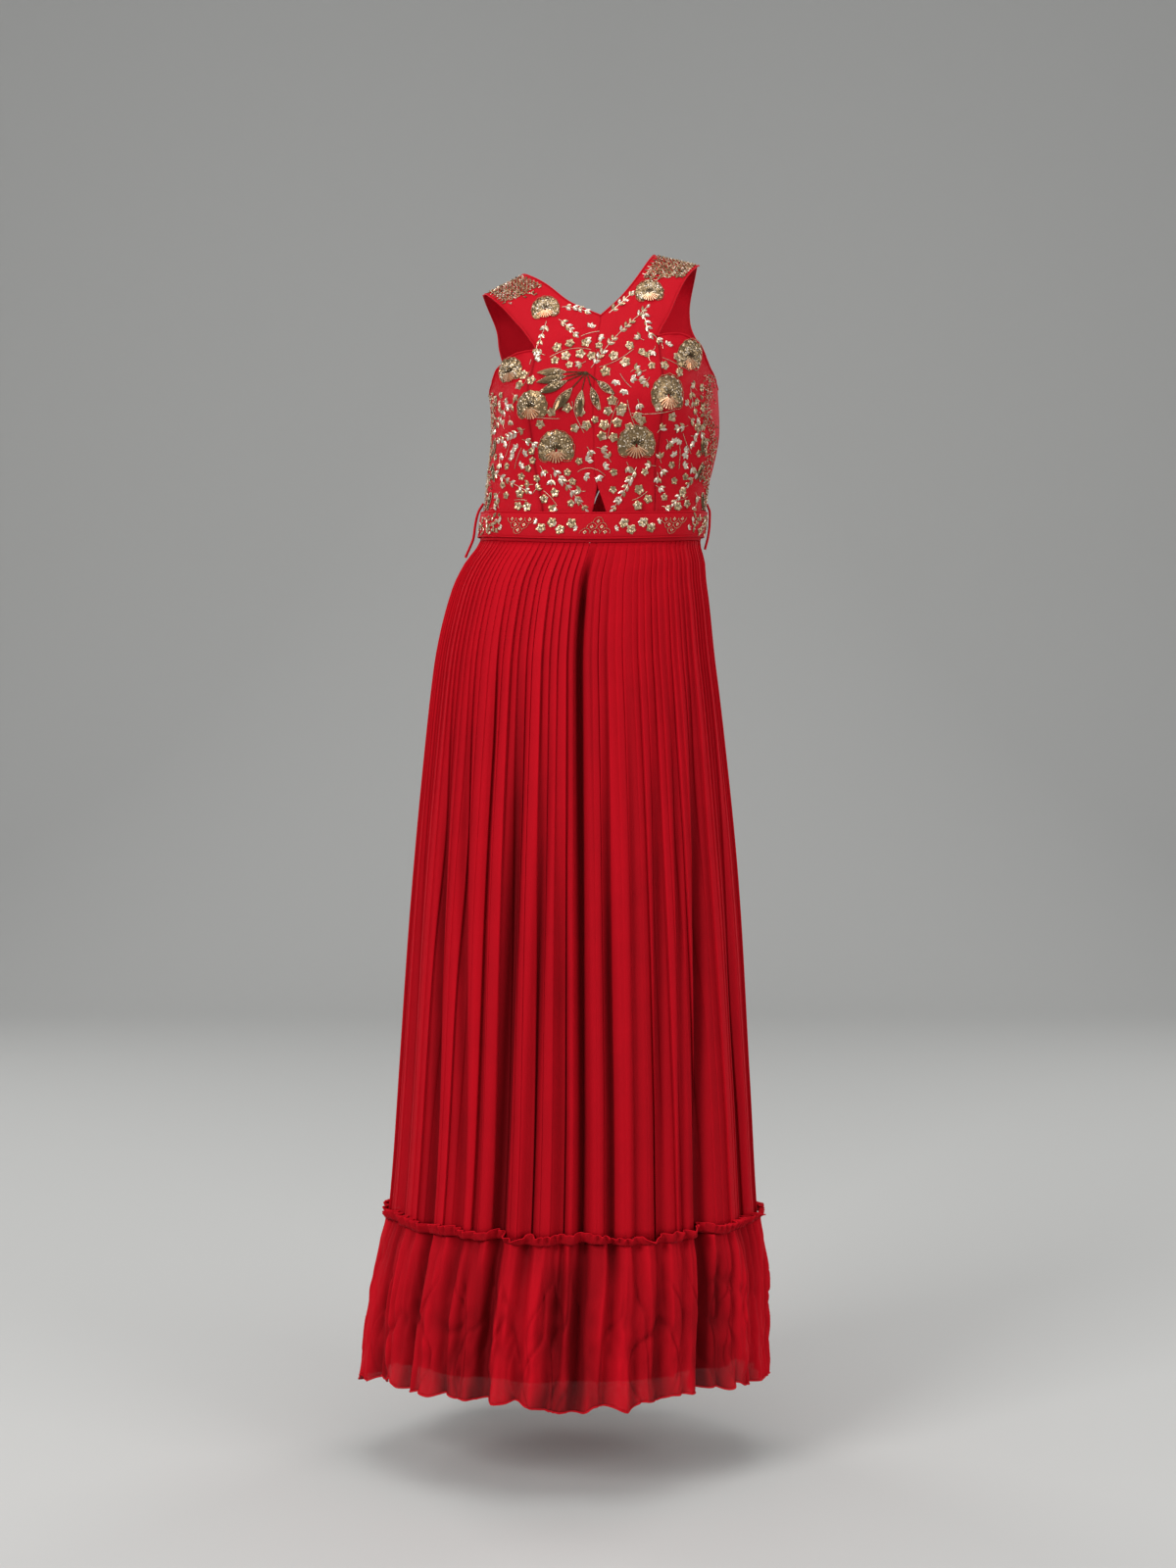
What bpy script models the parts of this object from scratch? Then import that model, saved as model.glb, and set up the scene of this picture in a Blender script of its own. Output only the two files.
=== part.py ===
"""Anarkali gown, worn shape with no wearer: a fitted bodice with crossing halter straps and a keyhole,
an embroidered belt over the waistband, a pleated skirt over a lining, and a gathered flounce with a frill.

Metres, +Z up, front towards -Y. The origin is where the shoulders carry the straps, midway between them.
Every piece lies on one general dress form: a stack of ellipses, with two bust cups and a shoulder ridge.
An angle round the form is 0 at the centre front, 90 at the wearer's left (+X) and 180 at the centre back.
"""

import math

import bpy
import numpy as np

# Cloth
BODICE_WALL = 0.0016
BELT_WALL = 0.0020
SKIRT_WALL = 0.0012
LINING_WALL = 0.0010
SEAM_GAP = 0.0003
SEAM_OUTSIDE = 0.0010  # walls lean towards each other inwards, so a seam is wider on the outside
SHOULDER_GAP = 0.0010
CLOTH_RED = (0.56, 0.006, 0.016, 1.0)
LINING_RED = (0.36, 0.004, 0.010, 1.0)

# Heights, down from the shoulder
SHOULDER_RIDGE = 0.021  # height of the shoulder line, carried on to the centre
SHOULDER_SLOPE = 0.36
SHOULDER_ROUND = 0.036
V_NECK = -0.082
NOTCH = -0.114
UNDERARM = -0.166
BACK_NECK = -0.120
KEYHOLE_TOP = -0.280
BODICE_END = -0.3120
BELT_TOP, BELT_END = -0.3080, -0.3370
WAISTBAND_TOP, WAISTBAND_END = -0.3125, -0.3420
SKIRT_TOP, SKIRT_END = -0.3425, -1.1700
FRILL_HEIGHT, FRILL_OUT = 0.011, 0.0022
FRILL_FOLLOWS = 0.88  # how much of each fold's depth the frill follows
FLOUNCE_TOP = -1.1706
LINING_END = -1.3180
# The hem's height at each angle: it hangs lowest at the sides and the back
HEM = (
    (-180, -1.376),
    (-90, -1.377),
    (-60, -1.354),
    (-25, -1.358),
    (0, -1.361),
    (45, -1.357),
    (70, -1.360),
    (90, -1.366),
    (130, -1.376),
    (180, -1.376),
)

# The dress form: height, half width, depth in front, depth behind
FORM = (
    (0.020, 0.186, 0.040, 0.046),
    (-0.030, 0.180, 0.052, 0.062),
    (-0.080, 0.165, 0.077, 0.084),
    (-0.120, 0.147, 0.094, 0.093),
    (-0.166, 0.1385, 0.103, 0.094),
    (-0.200, 0.1390, 0.101, 0.090),
    (-0.250, 0.1370, 0.094, 0.082),
    (-0.300, 0.1345, 0.088, 0.077),
    (-0.340, 0.1345, 0.088, 0.079),
    (-0.370, 0.1475, 0.094, 0.088),
    (-0.420, 0.1610, 0.102, 0.102),
    (-0.500, 0.1740, 0.112, 0.118),
    (-0.600, 0.1855, 0.120, 0.128),
    (-0.800, 0.2040, 0.134, 0.142),
    (-1.000, 0.2175, 0.147, 0.155),
    (-1.170, 0.2290, 0.157, 0.167),
    (-1.250, 0.2400, 0.168, 0.178),
    (-1.400, 0.2520, 0.180, 0.192),
)
# The pose: how far the form's centre leans to +X at each height
SWAY = (
    (0.020, -0.006),
    (-0.080, 0.000),
    (-0.160, 0.007),
    (-0.210, 0.009),
    (-0.280, -0.001),
    (-0.340, -0.009),
    (-0.400, -0.022),
    (-0.500, -0.028),
    (-1.000, -0.028),
    (-1.170, -0.030),
    (-1.300, -0.038),
    (-1.400, -0.043),
)
# The pose: how far the form turns about the upright at each height, in degrees
TURN = (
    (0.020, 0.0),
    (-0.080, 1.0),
    (-0.120, -2.3),
    (-0.200, -6.0),
    (-0.250, -4.0),
    (-0.285, 0.5),
    (-0.312, 2.5),
    (-0.345, 0.0),
)
SHOULDER_TILT = 0.12  # the wearer's left shoulder is the higher one
WAIST_DIP = 0.0075  # the waistline is this much lower at the centre front

# Bust cups: angle, height, and how far each reaches
CUP_ANGLE, CUP_HEIGHT = 33.0, -0.180
CUP_SPREAD_ANGLE, CUP_SPREAD_HEIGHT = 21.0, 0.042
CUP_FULLNESS = 0.016

# Pattern lines of the bodice, as (distance from the centre line, height)
PRINCESS = (
    (0.0660, BODICE_END),
    (0.0700, -0.270),
    (0.0757, -0.215),
    (0.0772, -0.170),
    (0.0745, -0.135),
    (0.0705, NOTCH),
)
# The two straps differ a little, because the gown sits askew: +1 is the wearer's left
FRONT_NECK = {
    1: ((0.000, V_NECK), (0.023, -0.0638), (0.046, -0.0395), (0.073, -0.0053)),
    -1: ((0.000, V_NECK), (0.035, -0.0600), (0.059, -0.0350), (0.088, -0.0107)),
}
FRONT_STRAP = {
    1: ((0.0705, NOTCH), (0.0880, -0.0740), (0.1060, -0.0440), (0.125, -0.0240)),
    -1: ((0.0705, NOTCH), (0.0970, -0.0785), (0.1160, -0.0515), (0.135, -0.0276)),
}
BACK_NECK_LINE = {
    1: ((0.000, BACK_NECK), (0.045, -0.096), (0.064, -0.050), (0.073, -0.0053)),
    -1: ((0.000, BACK_NECK), (0.045, -0.096), (0.072, -0.050), (0.088, -0.0107)),
}
BACK_ARMHOLE = {
    1: ((0.1385, UNDERARM), (0.1215, -0.118), (0.1160, -0.072), (0.125, -0.0240)),
    -1: ((0.1385, UNDERARM), (0.1215, -0.118), (0.1210, -0.072), (0.135, -0.0276)),
}
KEYHOLE_HALF = 0.0095
# The cup's upper edge, as (angle, height)
CUP_EDGE = (
    (28.0, -0.1140),
    (34.0, -0.1125),
    (40.0, -0.1130),
    (45.0, -0.1160),
    (51.0, -0.1212),
    (57.0, -0.1270),
    (61.0, -0.1340),
    (68.0, -0.1455),
    (74.0, -0.1520),
    (90.0, UNDERARM),
)

# The skirt's main folds: angle, half width in degrees, depth, and the heights where it starts and is full
VALLEYS = (
    (-54, 5.0, 0.022, -0.50, -0.95),
    (-36, 4.0, 0.010, -0.45, -0.75),
    (-24, 4.5, 0.026, -0.42, -0.95),
    (-12, 4.5, 0.012, -0.85, -1.15),
    (-6, 4.0, 0.014, -0.55, -0.90),
    (3, 4.0, 0.022, -0.345, -0.70),
    (12, 4.5, 0.018, -0.60, -1.00),
    (30, 4.5, 0.015, -0.60, -1.00),
    (45, 5.0, 0.026, -0.45, -0.95),
    (66, 5.0, 0.016, -0.60, -1.00),
    (-75, 5.0, 0.014, -0.60, -1.00),
    (99, 5.0, 0.020, -0.55, -1.00),
    (120, 5.0, 0.026, -0.45, -0.95),
    (138, 4.5, 0.016, -0.50, -0.95),
    (156, 5.0, 0.024, -0.42, -0.95),
    (174, 4.5, 0.018, -0.40, -0.90),
    (195, 5.0, 0.026, -0.45, -0.95),
    (213, 4.5, 0.014, -0.60, -1.00),
    (231, 5.0, 0.024, -0.45, -0.95),
    (255, 5.0, 0.020, -0.55, -1.00),
)
PLEAT_STEP = 3.0  # degrees from a pleat's ridge to its groove
PLEAT_DEPTH = 0.0030
# How far the lining lies inside the form: at the waist, at the sides, and all round behind the folds
LINING_INSET_TOP, LINING_INSET_SIDE, LINING_INSET = 0.0080, 0.0155, 0.0395
LINING_STEP = 7.5

# Belt loops: half width and reach of the cord, and where its two ends meet the cloth
LOOP_RADIUS = 0.0018
LOOP_TOP = -0.2965
LOOP_ENDS = {1: -0.3520, -1: -0.3620}


def through(points, at):
    """A smooth curve through (position, value) points, read at the positions given."""
    points = np.asarray(sorted(points), float)
    xs, ys = points[:, 0], points[:, 1]
    rise = np.diff(ys) / np.diff(xs)
    slopes = np.concatenate([rise[:1], rise[1:], rise[-1:]])
    for k in range(1, len(rise)):  # the harmonic mean, so that the curve never swings past its points
        before, after = rise[k - 1], rise[k]
        slopes[k] = 2 * before * after / (before + after) if before * after > 0 else 0.0
    at = np.clip(np.asarray(at, float), xs[0], xs[-1])
    i = np.clip(np.searchsorted(xs, at) - 1, 0, len(xs) - 2)
    step = xs[i + 1] - xs[i]
    t = (at - xs[i]) / step
    return (
        (2 * t**3 - 3 * t**2 + 1) * ys[i]
        + (t**3 - 2 * t**2 + t) * step * slopes[i]
        + (3 * t**2 - 2 * t**3) * ys[i + 1]
        + (t**3 - t**2) * step * slopes[i + 1]
    )


def smooth_step(low, high, value):
    t = np.clip((np.asarray(value, float) - low) / (high - low), 0, 1)
    return t * t * (3 - 2 * t)


def form_width(z):
    return through([(row[0], row[1]) for row in FORM], z)


def on_form(angle, z, out=0.0):
    """Points on the dress form at these angles and heights, moved out from it by a distance."""
    angle, z, out = np.broadcast_arrays(*(np.asarray(v, float) for v in (angle, z, out)))
    turn = np.radians(angle + through(TURN, z))
    side, ahead = np.sin(turn), np.cos(turn)
    width = form_width(z)
    front = through([(row[0], row[2]) for row in FORM], z)
    back = through([(row[0], row[3]) for row in FORM], z)
    depth = np.where(ahead > 0, front, back)
    away = (np.abs((angle + 180) % 360 - 180) - CUP_ANGLE) / CUP_SPREAD_ANGLE
    cup = CUP_FULLNESS * np.exp(-(away**2) - ((z - CUP_HEIGHT) / CUP_SPREAD_HEIGHT) ** 2)
    x = (width + out + cup * 0.35) * side
    below = SHOULDER_RIDGE - SHOULDER_SLOPE * np.abs(x) - z
    near = np.clip(below / SHOULDER_ROUND, 0, 1)
    y = -(depth + out + cup) * ahead * np.sqrt(1 - (1 - near) ** 2)
    lift = np.where(below < SHOULDER_ROUND, out * (1 - near), 0)
    tilt = SHOULDER_TILT * smooth_step(-0.205, -0.115, z)
    dip = WAIST_DIP * np.exp(-(((z + 0.33) / 0.05) ** 2)) * np.clip(ahead, 0, 1) ** 2
    return np.stack([x + through(SWAY, z), y, z + lift + tilt * x - dip], axis=-1)


def angle_of(x, z, behind=False):
    """The angle at which the form is this far from its centre line, in front or behind."""
    turn = np.degrees(np.arcsin(np.clip(np.asarray(x) / form_width(z), -1, 1)))
    return 180 - turn if behind else turn


def valley_depth(angle, z):
    """How far the skirt's main folds push in at these angles and heights."""
    angle, z = np.broadcast_arrays(np.asarray(angle, float), np.asarray(z, float))
    depth = np.zeros(angle.shape)
    for middle, half, deep, start, full in VALLEYS:
        away = np.abs((angle - middle + 180) % 360 - 180) / half
        fold = deep * np.clip(1 - away, 0, 1) ** 1.2
        depth = np.maximum(depth, fold * smooth_step(-start, -full, -z))
    return depth


def new_material(name, colour, roughness):
    material = bpy.data.materials.new(name)
    material.use_nodes = True
    shader = material.node_tree.nodes["Principled BSDF"]
    shader.inputs["Base Color"].default_value = colour
    shader.inputs["Roughness"].default_value = roughness
    shader.inputs["Metallic"].default_value = 0.0
    return material


def cloth(name, points, wall, material, closed=False, outward=False):
    """A cloth wall from a grid of points: rows go down the cloth, columns go round it to +X."""
    rows, columns = points.shape[:2]
    count = columns if closed else columns - 1
    faces = [
        (
            row * columns + column,
            (row + 1) * columns + column,
            (row + 1) * columns + (column + 1) % columns,
            row * columns + (column + 1) % columns,
        )
        for row in range(rows - 1)
        for column in range(count)
    ]
    mesh = bpy.data.meshes.new(name)
    mesh.from_pydata(points.reshape(-1, 3).tolist(), [], faces)
    mesh.materials.append(material)
    mesh.validate()
    piece = bpy.data.objects.new(name, mesh)
    gown.objects.link(piece)
    thickness = piece.modifiers.new("cloth thickness", "SOLIDIFY")
    thickness.thickness = wall
    thickness.offset = 1.0 if outward else -1.0
    mesh.shade_smooth()
    return piece


def between(first, last, count):
    return np.linspace(first, last, count)


def mirrored(grid):
    """The same grid for the other side of the pattern, its columns still running to +X."""
    return -grid[:, ::-1]


# Bodice


def along(line, where):
    """The (distance, height) at a place along a pattern line, 0 at its first point and 1 at its last."""
    place = where * (len(line) - 1)
    return tuple(float(through([(i, point[k]) for i, point in enumerate(line)], place)) for k in (0, 1))


def front_rows(side):
    """The front's rows of (inner edge, outer edge), from the shoulder seam down to the waist."""
    straps = [
        (along(FRONT_NECK[side], t), along(FRONT_STRAP[side], t))
        for t in (1.0, 0.975, 0.93, 0.86, 0.72, 0.55, 0.36, 0.18)
    ]
    body = []
    for share in (0.0, 0.14, 0.30, 0.45, 0.60, 0.74, None, 0.93, 1.0):
        if share is None:
            share = (KEYHOLE_TOP - V_NECK) / (BODICE_END - V_NECK)
        inner_z = V_NECK + share * (BODICE_END - V_NECK)
        outer_z = NOTCH + share * (BODICE_END - NOTCH)
        inner_x = KEYHOLE_HALF * max(0.0, (KEYHOLE_TOP - inner_z) / (KEYHOLE_TOP - BODICE_END))
        outer_x = float(through([(z, x) for x, z in PRINCESS], outer_z))
        body.append(((inner_x, inner_z), (outer_x, outer_z)))
    return straps + sorted(body, key=lambda row: -row[0][1])


def front_centre(side):
    """One half of the centre front with its strap, from the centre seam to the princess seam."""
    columns = between(0, 1, 8)
    angles, heights = [], []
    for (inner_x, inner_z), (outer_x, outer_z) in front_rows(side):
        inner_x, outer_x = inner_x + SEAM_OUTSIDE / 2, outer_x - SEAM_OUTSIDE / 2
        x = inner_x + (outer_x - inner_x) * columns
        z = inner_z + (outer_z - inner_z) * columns
        angles.append(angle_of(x, z))
        heights.append(z)
    angles, heights = np.array(angles), np.array(heights)
    if side < 0:
        angles, heights = mirrored(angles), heights[:, ::-1]
    grid = on_form(angles, heights)
    grid[0, :, 1] -= SHOULDER_GAP / 2
    return grid


def front_side(side):
    """The cup panel between the princess seam and the side seam."""
    across, down = between(0, 1, 8), between(0, 1, 9)
    top_angle = 28.0 + across * 62.0
    top = through(CUP_EDGE, top_angle)
    z = top[None, :] + (BODICE_END - top[None, :]) * down[:, None]
    seam_x = through([(height, x) for x, height in PRINCESS], z[:, 0]) + SEAM_OUTSIDE / 2
    seam = angle_of(seam_x, z[:, 0])
    side_seam = 90 - math.degrees(SEAM_OUTSIDE / 2 / 0.10)
    angles = seam[:, None] + (side_seam - seam[:, None]) * across[None, :]
    if side < 0:
        angles, z = mirrored(angles), z[:, ::-1]
    return on_form(angles, z)


def back_half(side):
    """One half of the back with its strap, from the centre back seam to the side seam."""
    across = between(0, 1, 9)
    angles, heights = [], []
    for t in (1.0, 0.975, 0.93, 0.85, 0.70, 0.52, 0.34, 0.17):
        inner, outer = along(BACK_NECK_LINE[side], t), along(BACK_ARMHOLE[side], t)
        x = inner[0] + SEAM_OUTSIDE / 2 + (outer[0] - inner[0] - SEAM_OUTSIDE / 2) * across
        z = inner[1] + (outer[1] - inner[1]) * across
        angles.append(angle_of(x, z, behind=True))
        heights.append(z)
    for share in between(0, 1, 7):
        inner_z = BACK_NECK + share * (BODICE_END - BACK_NECK)
        outer_z = UNDERARM + share * (BODICE_END - UNDERARM)
        gap = math.degrees(SEAM_OUTSIDE / 2 / 0.10)
        angles.append((180 - gap) + (2 * gap - 90) * across)
        heights.append(inner_z + (outer_z - inner_z) * across)
    angles, heights = np.array(angles)[:, ::-1], np.array(heights)[:, ::-1]
    if side < 0:
        angles, heights = mirrored(angles), heights[:, ::-1]
    grid = on_form(angles, heights)
    grid[0, :, 1] += SHOULDER_GAP / 2
    return grid


# Waist


def band(top, end, out, gap_behind=True):
    """A band round the waist, open at the centre back where its ends meet."""
    reach = 180 - (math.degrees(SEAM_GAP / 0.09) if gap_behind else 0)
    return on_form(between(-reach, reach, 43)[None, :], between(top, end, 2)[:, None], out)


def belt_loop(name, side, material):
    """A thin fabric loop at the side seam that carries the belt."""
    angle = 90.0 * side
    top = on_form(angle, LOOP_TOP, LOOP_RADIUS + SEAM_GAP)
    end = on_form(angle, LOOP_ENDS[side], LOOP_RADIUS + 0.0022)
    over = [on_form(angle, z, 0.0032 + LOOP_RADIUS + SEAM_GAP * 2) for z in (BELT_TOP, BELT_END)]
    slack = np.array([side * 0.0025, 0, 0])
    stations = np.array([top, over[0] + slack * 0.4, (over[0] + over[1]) / 2 + slack, over[1] + slack, end])
    where = between(0, len(stations) - 1, 13)
    path = np.stack([through(list(enumerate(stations[:, k])), where) for k in range(3)], axis=1)
    curve = bpy.data.curves.new(name, "CURVE")
    curve.dimensions = "3D"
    curve.bevel_depth = LOOP_RADIUS
    curve.bevel_resolution = 1
    curve.use_fill_caps = True
    spline = curve.splines.new("POLY")
    spline.points.add(len(path) - 1)
    for point, place in zip(spline.points, path):
        point.co = (*place, 1)
    curve.materials.append(material)
    gown.objects.link(bpy.data.objects.new(name, curve))


# Skirt


def skirt_points(angles, z, out=0.0):
    return on_form(angles, z, out - valley_depth(angles, z))


def skirt_panel(middle):
    """Half of the pleated skirt, between its side seams."""
    gap = math.degrees(SEAM_OUTSIDE / 2 / 0.08)
    angles = middle + np.arange(-90, 90 + PLEAT_STEP, PLEAT_STEP)
    groove = 1.0 - np.arange(len(angles)) % 2  # the side seams lie in grooves
    angles[0], angles[-1] = angles[0] + gap, angles[-1] - gap
    z = np.array([SKIRT_TOP, -0.390, -0.540, -0.850, SKIRT_END])
    deep = PLEAT_DEPTH * np.array([0.35, 0.8, 1.0, 1.1, 0.8])
    out = -deep[:, None] * groove[None, :]
    return skirt_points(angles[None, :], z[:, None], out)


def flounce_panel(middle):
    """Half of the gathered flounce, with its hem rising and falling."""
    gap = math.degrees(SEAM_OUTSIDE / 2 / 0.15)
    angles = middle + np.arange(-90, 90 + PLEAT_STEP, PLEAT_STEP)
    groove = 1.0 - np.arange(len(angles)) % 2  # the side seams lie in grooves
    angles[0], angles[-1] = angles[0] + gap, angles[-1] - gap
    wave = 0.004 * np.sin(np.radians(angles * 7)) + 0.003 * np.sin(np.radians(angles * 17 + 40))
    hem = through(HEM, (angles + 180) % 360 - 180) - wave
    share = np.array([0.0, 0.14, 0.55, 1.0])
    heights = FLOUNCE_TOP + share[:, None] * (hem[None, :] - FLOUNCE_TOP)
    deep = np.array([0.002, 0.006, 0.008, 0.010])
    return skirt_points(angles[None, :], heights, 0.002 - deep[:, None] * groove[None, :])


def lining_panel(middle):
    """Half of the plain inner skirt, which shows through the sheer cloth and stops short of the hem."""
    gap = math.degrees(SEAM_OUTSIDE / 2 / 0.07)
    angles = middle + np.arange(-90, 90 + LINING_STEP, LINING_STEP)
    angles[0], angles[-1] = angles[0] + gap, angles[-1] - gap
    z = np.array([SKIRT_TOP, -0.420, -0.640, -1.000, LINING_END])[:, None]
    from_side = np.abs(np.abs((angles + 180) % 360 - 180) - 90)[None, :]
    full = LINING_INSET_SIDE + (LINING_INSET - LINING_INSET_SIDE) * smooth_step(3, 10, from_side)
    inset = LINING_INSET_TOP + (full - LINING_INSET_TOP) * smooth_step(0.35, 0.70, -z)
    return on_form(angles[None, :], z, -inset)


def frill():
    """The narrow ruffle that stands up round the flounce's gathering seam, on the skirt's own points."""
    angles = np.arange(-180, 180, PLEAT_STEP)
    groove = 1.0 - (np.arange(len(angles)) + 30) % 2
    wave = 0.5 + 0.5 * np.cos(np.radians(angles * 24))
    z = np.array([SKIRT_END + SEAM_GAP, SKIRT_END + FRILL_HEIGHT])
    out = np.stack([np.full(len(angles), FRILL_OUT), FRILL_OUT + 0.001 + 0.004 * wave])
    folds = FRILL_FOLLOWS * valley_depth(angles[None, :], z[:, None])
    return on_form(angles[None, :], z[:, None], out - PLEAT_DEPTH * 0.8 * groove[None, :] - folds)


def build():
    red = new_material("georgette red", CLOTH_RED, 0.75)
    silk = new_material("raw silk red", CLOTH_RED, 0.60)
    inner = new_material("lining red", LINING_RED, 0.55)
    for name, side in (("left", 1), ("right", -1)):
        cloth(f"front_centre_{name}", front_centre(side), BODICE_WALL, silk)
        cloth(f"front_side_{name}", front_side(side), BODICE_WALL, silk)
        cloth(f"back_{name}", back_half(side), BODICE_WALL, silk)
        belt_loop(f"belt_loop_{name}", side, silk)
    cloth("belt", band(BELT_TOP, BELT_END, 0.0034), BELT_WALL, silk)
    cloth("waistband", band(WAISTBAND_TOP, WAISTBAND_END, 0.0), BODICE_WALL, silk)
    cloth("skirt_front", skirt_panel(0), SKIRT_WALL, red)
    cloth("skirt_back", skirt_panel(180), SKIRT_WALL, red)
    cloth("flounce_front", flounce_panel(0), SKIRT_WALL, red)
    cloth("flounce_back", flounce_panel(180), SKIRT_WALL, red)
    cloth("flounce_frill", frill(), SKIRT_WALL, red, closed=True, outward=True)
    cloth("skirt_lining_front", lining_panel(0), LINING_WALL, inner)
    cloth("skirt_lining_back", lining_panel(180), LINING_WALL, inner)


for old in list(bpy.data.objects):
    bpy.data.objects.remove(old)
gown = bpy.data.collections.new("anarkali gown")
bpy.context.scene.collection.children.link(gown)
build()
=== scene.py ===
import math

import bmesh
import bpy
import numpy as np
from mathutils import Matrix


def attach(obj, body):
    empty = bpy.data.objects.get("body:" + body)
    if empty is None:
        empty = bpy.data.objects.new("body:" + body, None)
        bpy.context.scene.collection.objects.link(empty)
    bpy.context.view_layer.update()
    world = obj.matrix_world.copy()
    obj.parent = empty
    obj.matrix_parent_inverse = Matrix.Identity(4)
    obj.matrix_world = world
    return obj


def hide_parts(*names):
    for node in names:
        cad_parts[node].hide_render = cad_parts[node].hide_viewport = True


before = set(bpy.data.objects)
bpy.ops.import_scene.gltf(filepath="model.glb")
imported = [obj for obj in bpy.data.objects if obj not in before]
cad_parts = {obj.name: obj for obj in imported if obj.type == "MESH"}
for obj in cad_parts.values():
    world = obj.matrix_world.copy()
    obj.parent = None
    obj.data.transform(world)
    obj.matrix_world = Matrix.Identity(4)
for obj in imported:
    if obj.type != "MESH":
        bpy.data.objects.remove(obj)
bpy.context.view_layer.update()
print("cut pieces:", ", ".join(sorted(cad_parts)))

# %% [markdown]
# ## Camera, floor and light
# The gown hangs at eye level before a pale grey sweep, a floor that curves up into a wall. The camera
# stands a little below the bust and looks slightly down. Large area lights make soft shadows, because
# folds of a matt cloth read by the slow change from light to shade and not by highlights.
# %% Camera
camera_data = bpy.data.cameras.new("camera")
camera = bpy.data.objects.new("camera", camera_data)
bpy.context.scene.collection.objects.link(camera)
camera_data.lens = 50
camera.location = (-0.012, -2.67, -0.516)
camera.rotation_euler = (math.radians(90 - 2.63), 0, 0)
bpy.context.scene.camera = camera
bpy.context.scene.view_settings.view_transform = "Standard"
print("camera at", tuple(round(v, 3) for v in camera.location))

# %% A backdrop that curves from floor to wall
FLOOR, SWEEP_START, SWEEP_RADIUS = -1.475, 3.6, 1.4
sweep = [(-7.0, 0.0), (SWEEP_START, 0.0)]
bend = np.linspace(0.1, math.pi / 2, 14)
sweep += [(SWEEP_START + SWEEP_RADIUS * math.sin(a), SWEEP_RADIUS * (1 - math.cos(a))) for a in bend]
sweep += [(SWEEP_START + SWEEP_RADIUS, 6.5)]
corners = [(x, y, FLOOR + z) for y, z in sweep for x in (-9.0, 9.0)]
strips = [(2 * i, 2 * i + 1, 2 * i + 3, 2 * i + 2) for i in range(len(sweep) - 1)]
backdrop_mesh = bpy.data.meshes.new("backdrop")
backdrop_mesh.from_pydata(corners, [], strips)
backdrop_mesh.shade_smooth()
backdrop = bpy.data.objects.new("backdrop", backdrop_mesh)
bpy.context.scene.collection.objects.link(backdrop)
paper = bpy.data.materials.new("studio paper")
paper.use_nodes = True
paper_shader = paper.node_tree.nodes["Principled BSDF"]
paper_shader.inputs["Base Color"].default_value = (0.53, 0.53, 0.515, 1)
paper_shader.inputs["Roughness"].default_value = 0.9
backdrop_mesh.materials.append(paper)
print("floor at", FLOOR)


# %% Soft studio lights
def area_light(name, place, aim, size, power, tint=(1, 1, 1)):
    """A square area light that faces a point."""
    data = bpy.data.lights.new(name, "AREA")
    data.size = size
    data.energy = power
    data.color = tint
    light = bpy.data.objects.new(name, data)
    bpy.context.scene.collection.objects.link(light)
    light.location = place
    towards = np.array(aim, float) - np.array(place, float)
    flat = math.hypot(towards[0], towards[1])
    light.rotation_euler = (
        math.atan2(flat, -towards[2]),
        0,
        math.atan2(towards[1], towards[0]) - math.pi / 2,
    )
    return light


area_light("key light", (-2.4, -2.6, 1.0), (0, 0, -0.7), 1.6, 92)
area_light("fill light", (2.7, -2.3, 0.4), (0, 0, -0.8), 1.8, 44)
area_light("top light", (0.0, -0.6, 2.2), (0, 0.2, -0.6), 2.2, 40)
for side in (-1, 1):
    area_light(f"back light {side}", (side * 2.7, 2.4, 0.9), (0, 0, -0.7), 1.6, 34)
world = bpy.data.worlds.new("studio")
world.use_nodes = True
world.node_tree.nodes["Background"].inputs["Color"].default_value = (0.75, 0.76, 0.78, 1)
world.node_tree.nodes["Background"].inputs["Strength"].default_value = 0.42
bpy.context.scene.world = world

# %% [markdown]
# ## The dress form
# Every piece lies on one general form, a stack of ellipses with two bust cups and a sloping shoulder.
# The same few tables drive the plain model, so the fine cloth lands where its cut piece is. An angle
# round the form is 0 at the centre front, 90 at the wearer's left side and 180 at the centre back.
# %% Sizes of the form
SHOULDER_RIDGE, SHOULDER_SLOPE, SHOULDER_ROUND = 0.021, 0.36, 0.036
V_NECK, NOTCH, UNDERARM, BACK_NECK = -0.082, -0.114, -0.166, -0.120
KEYHOLE_TOP, BODICE_END = -0.280, -0.3120
BELT_TOP, BELT_END = -0.3080, -0.3370
SKIRT_TOP, SKIRT_END, LINING_END = -0.3425, -1.1700, -1.3180
FORM = (  # height, half width, depth in front, depth behind
    (0.020, 0.186, 0.040, 0.046),
    (-0.030, 0.180, 0.052, 0.062),
    (-0.080, 0.165, 0.077, 0.084),
    (-0.120, 0.147, 0.094, 0.093),
    (-0.166, 0.1385, 0.103, 0.094),
    (-0.200, 0.1390, 0.101, 0.090),
    (-0.250, 0.1370, 0.094, 0.082),
    (-0.300, 0.1345, 0.088, 0.077),
    (-0.340, 0.1345, 0.088, 0.079),
    (-0.370, 0.1475, 0.094, 0.088),
    (-0.420, 0.1610, 0.102, 0.102),
    (-0.500, 0.1740, 0.112, 0.118),
    (-0.600, 0.1855, 0.120, 0.128),
    (-0.800, 0.2040, 0.134, 0.142),
    (-1.000, 0.2175, 0.147, 0.155),
    (-1.170, 0.2290, 0.157, 0.167),
    (-1.250, 0.2400, 0.168, 0.178),
    (-1.400, 0.2520, 0.180, 0.192),
)
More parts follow.
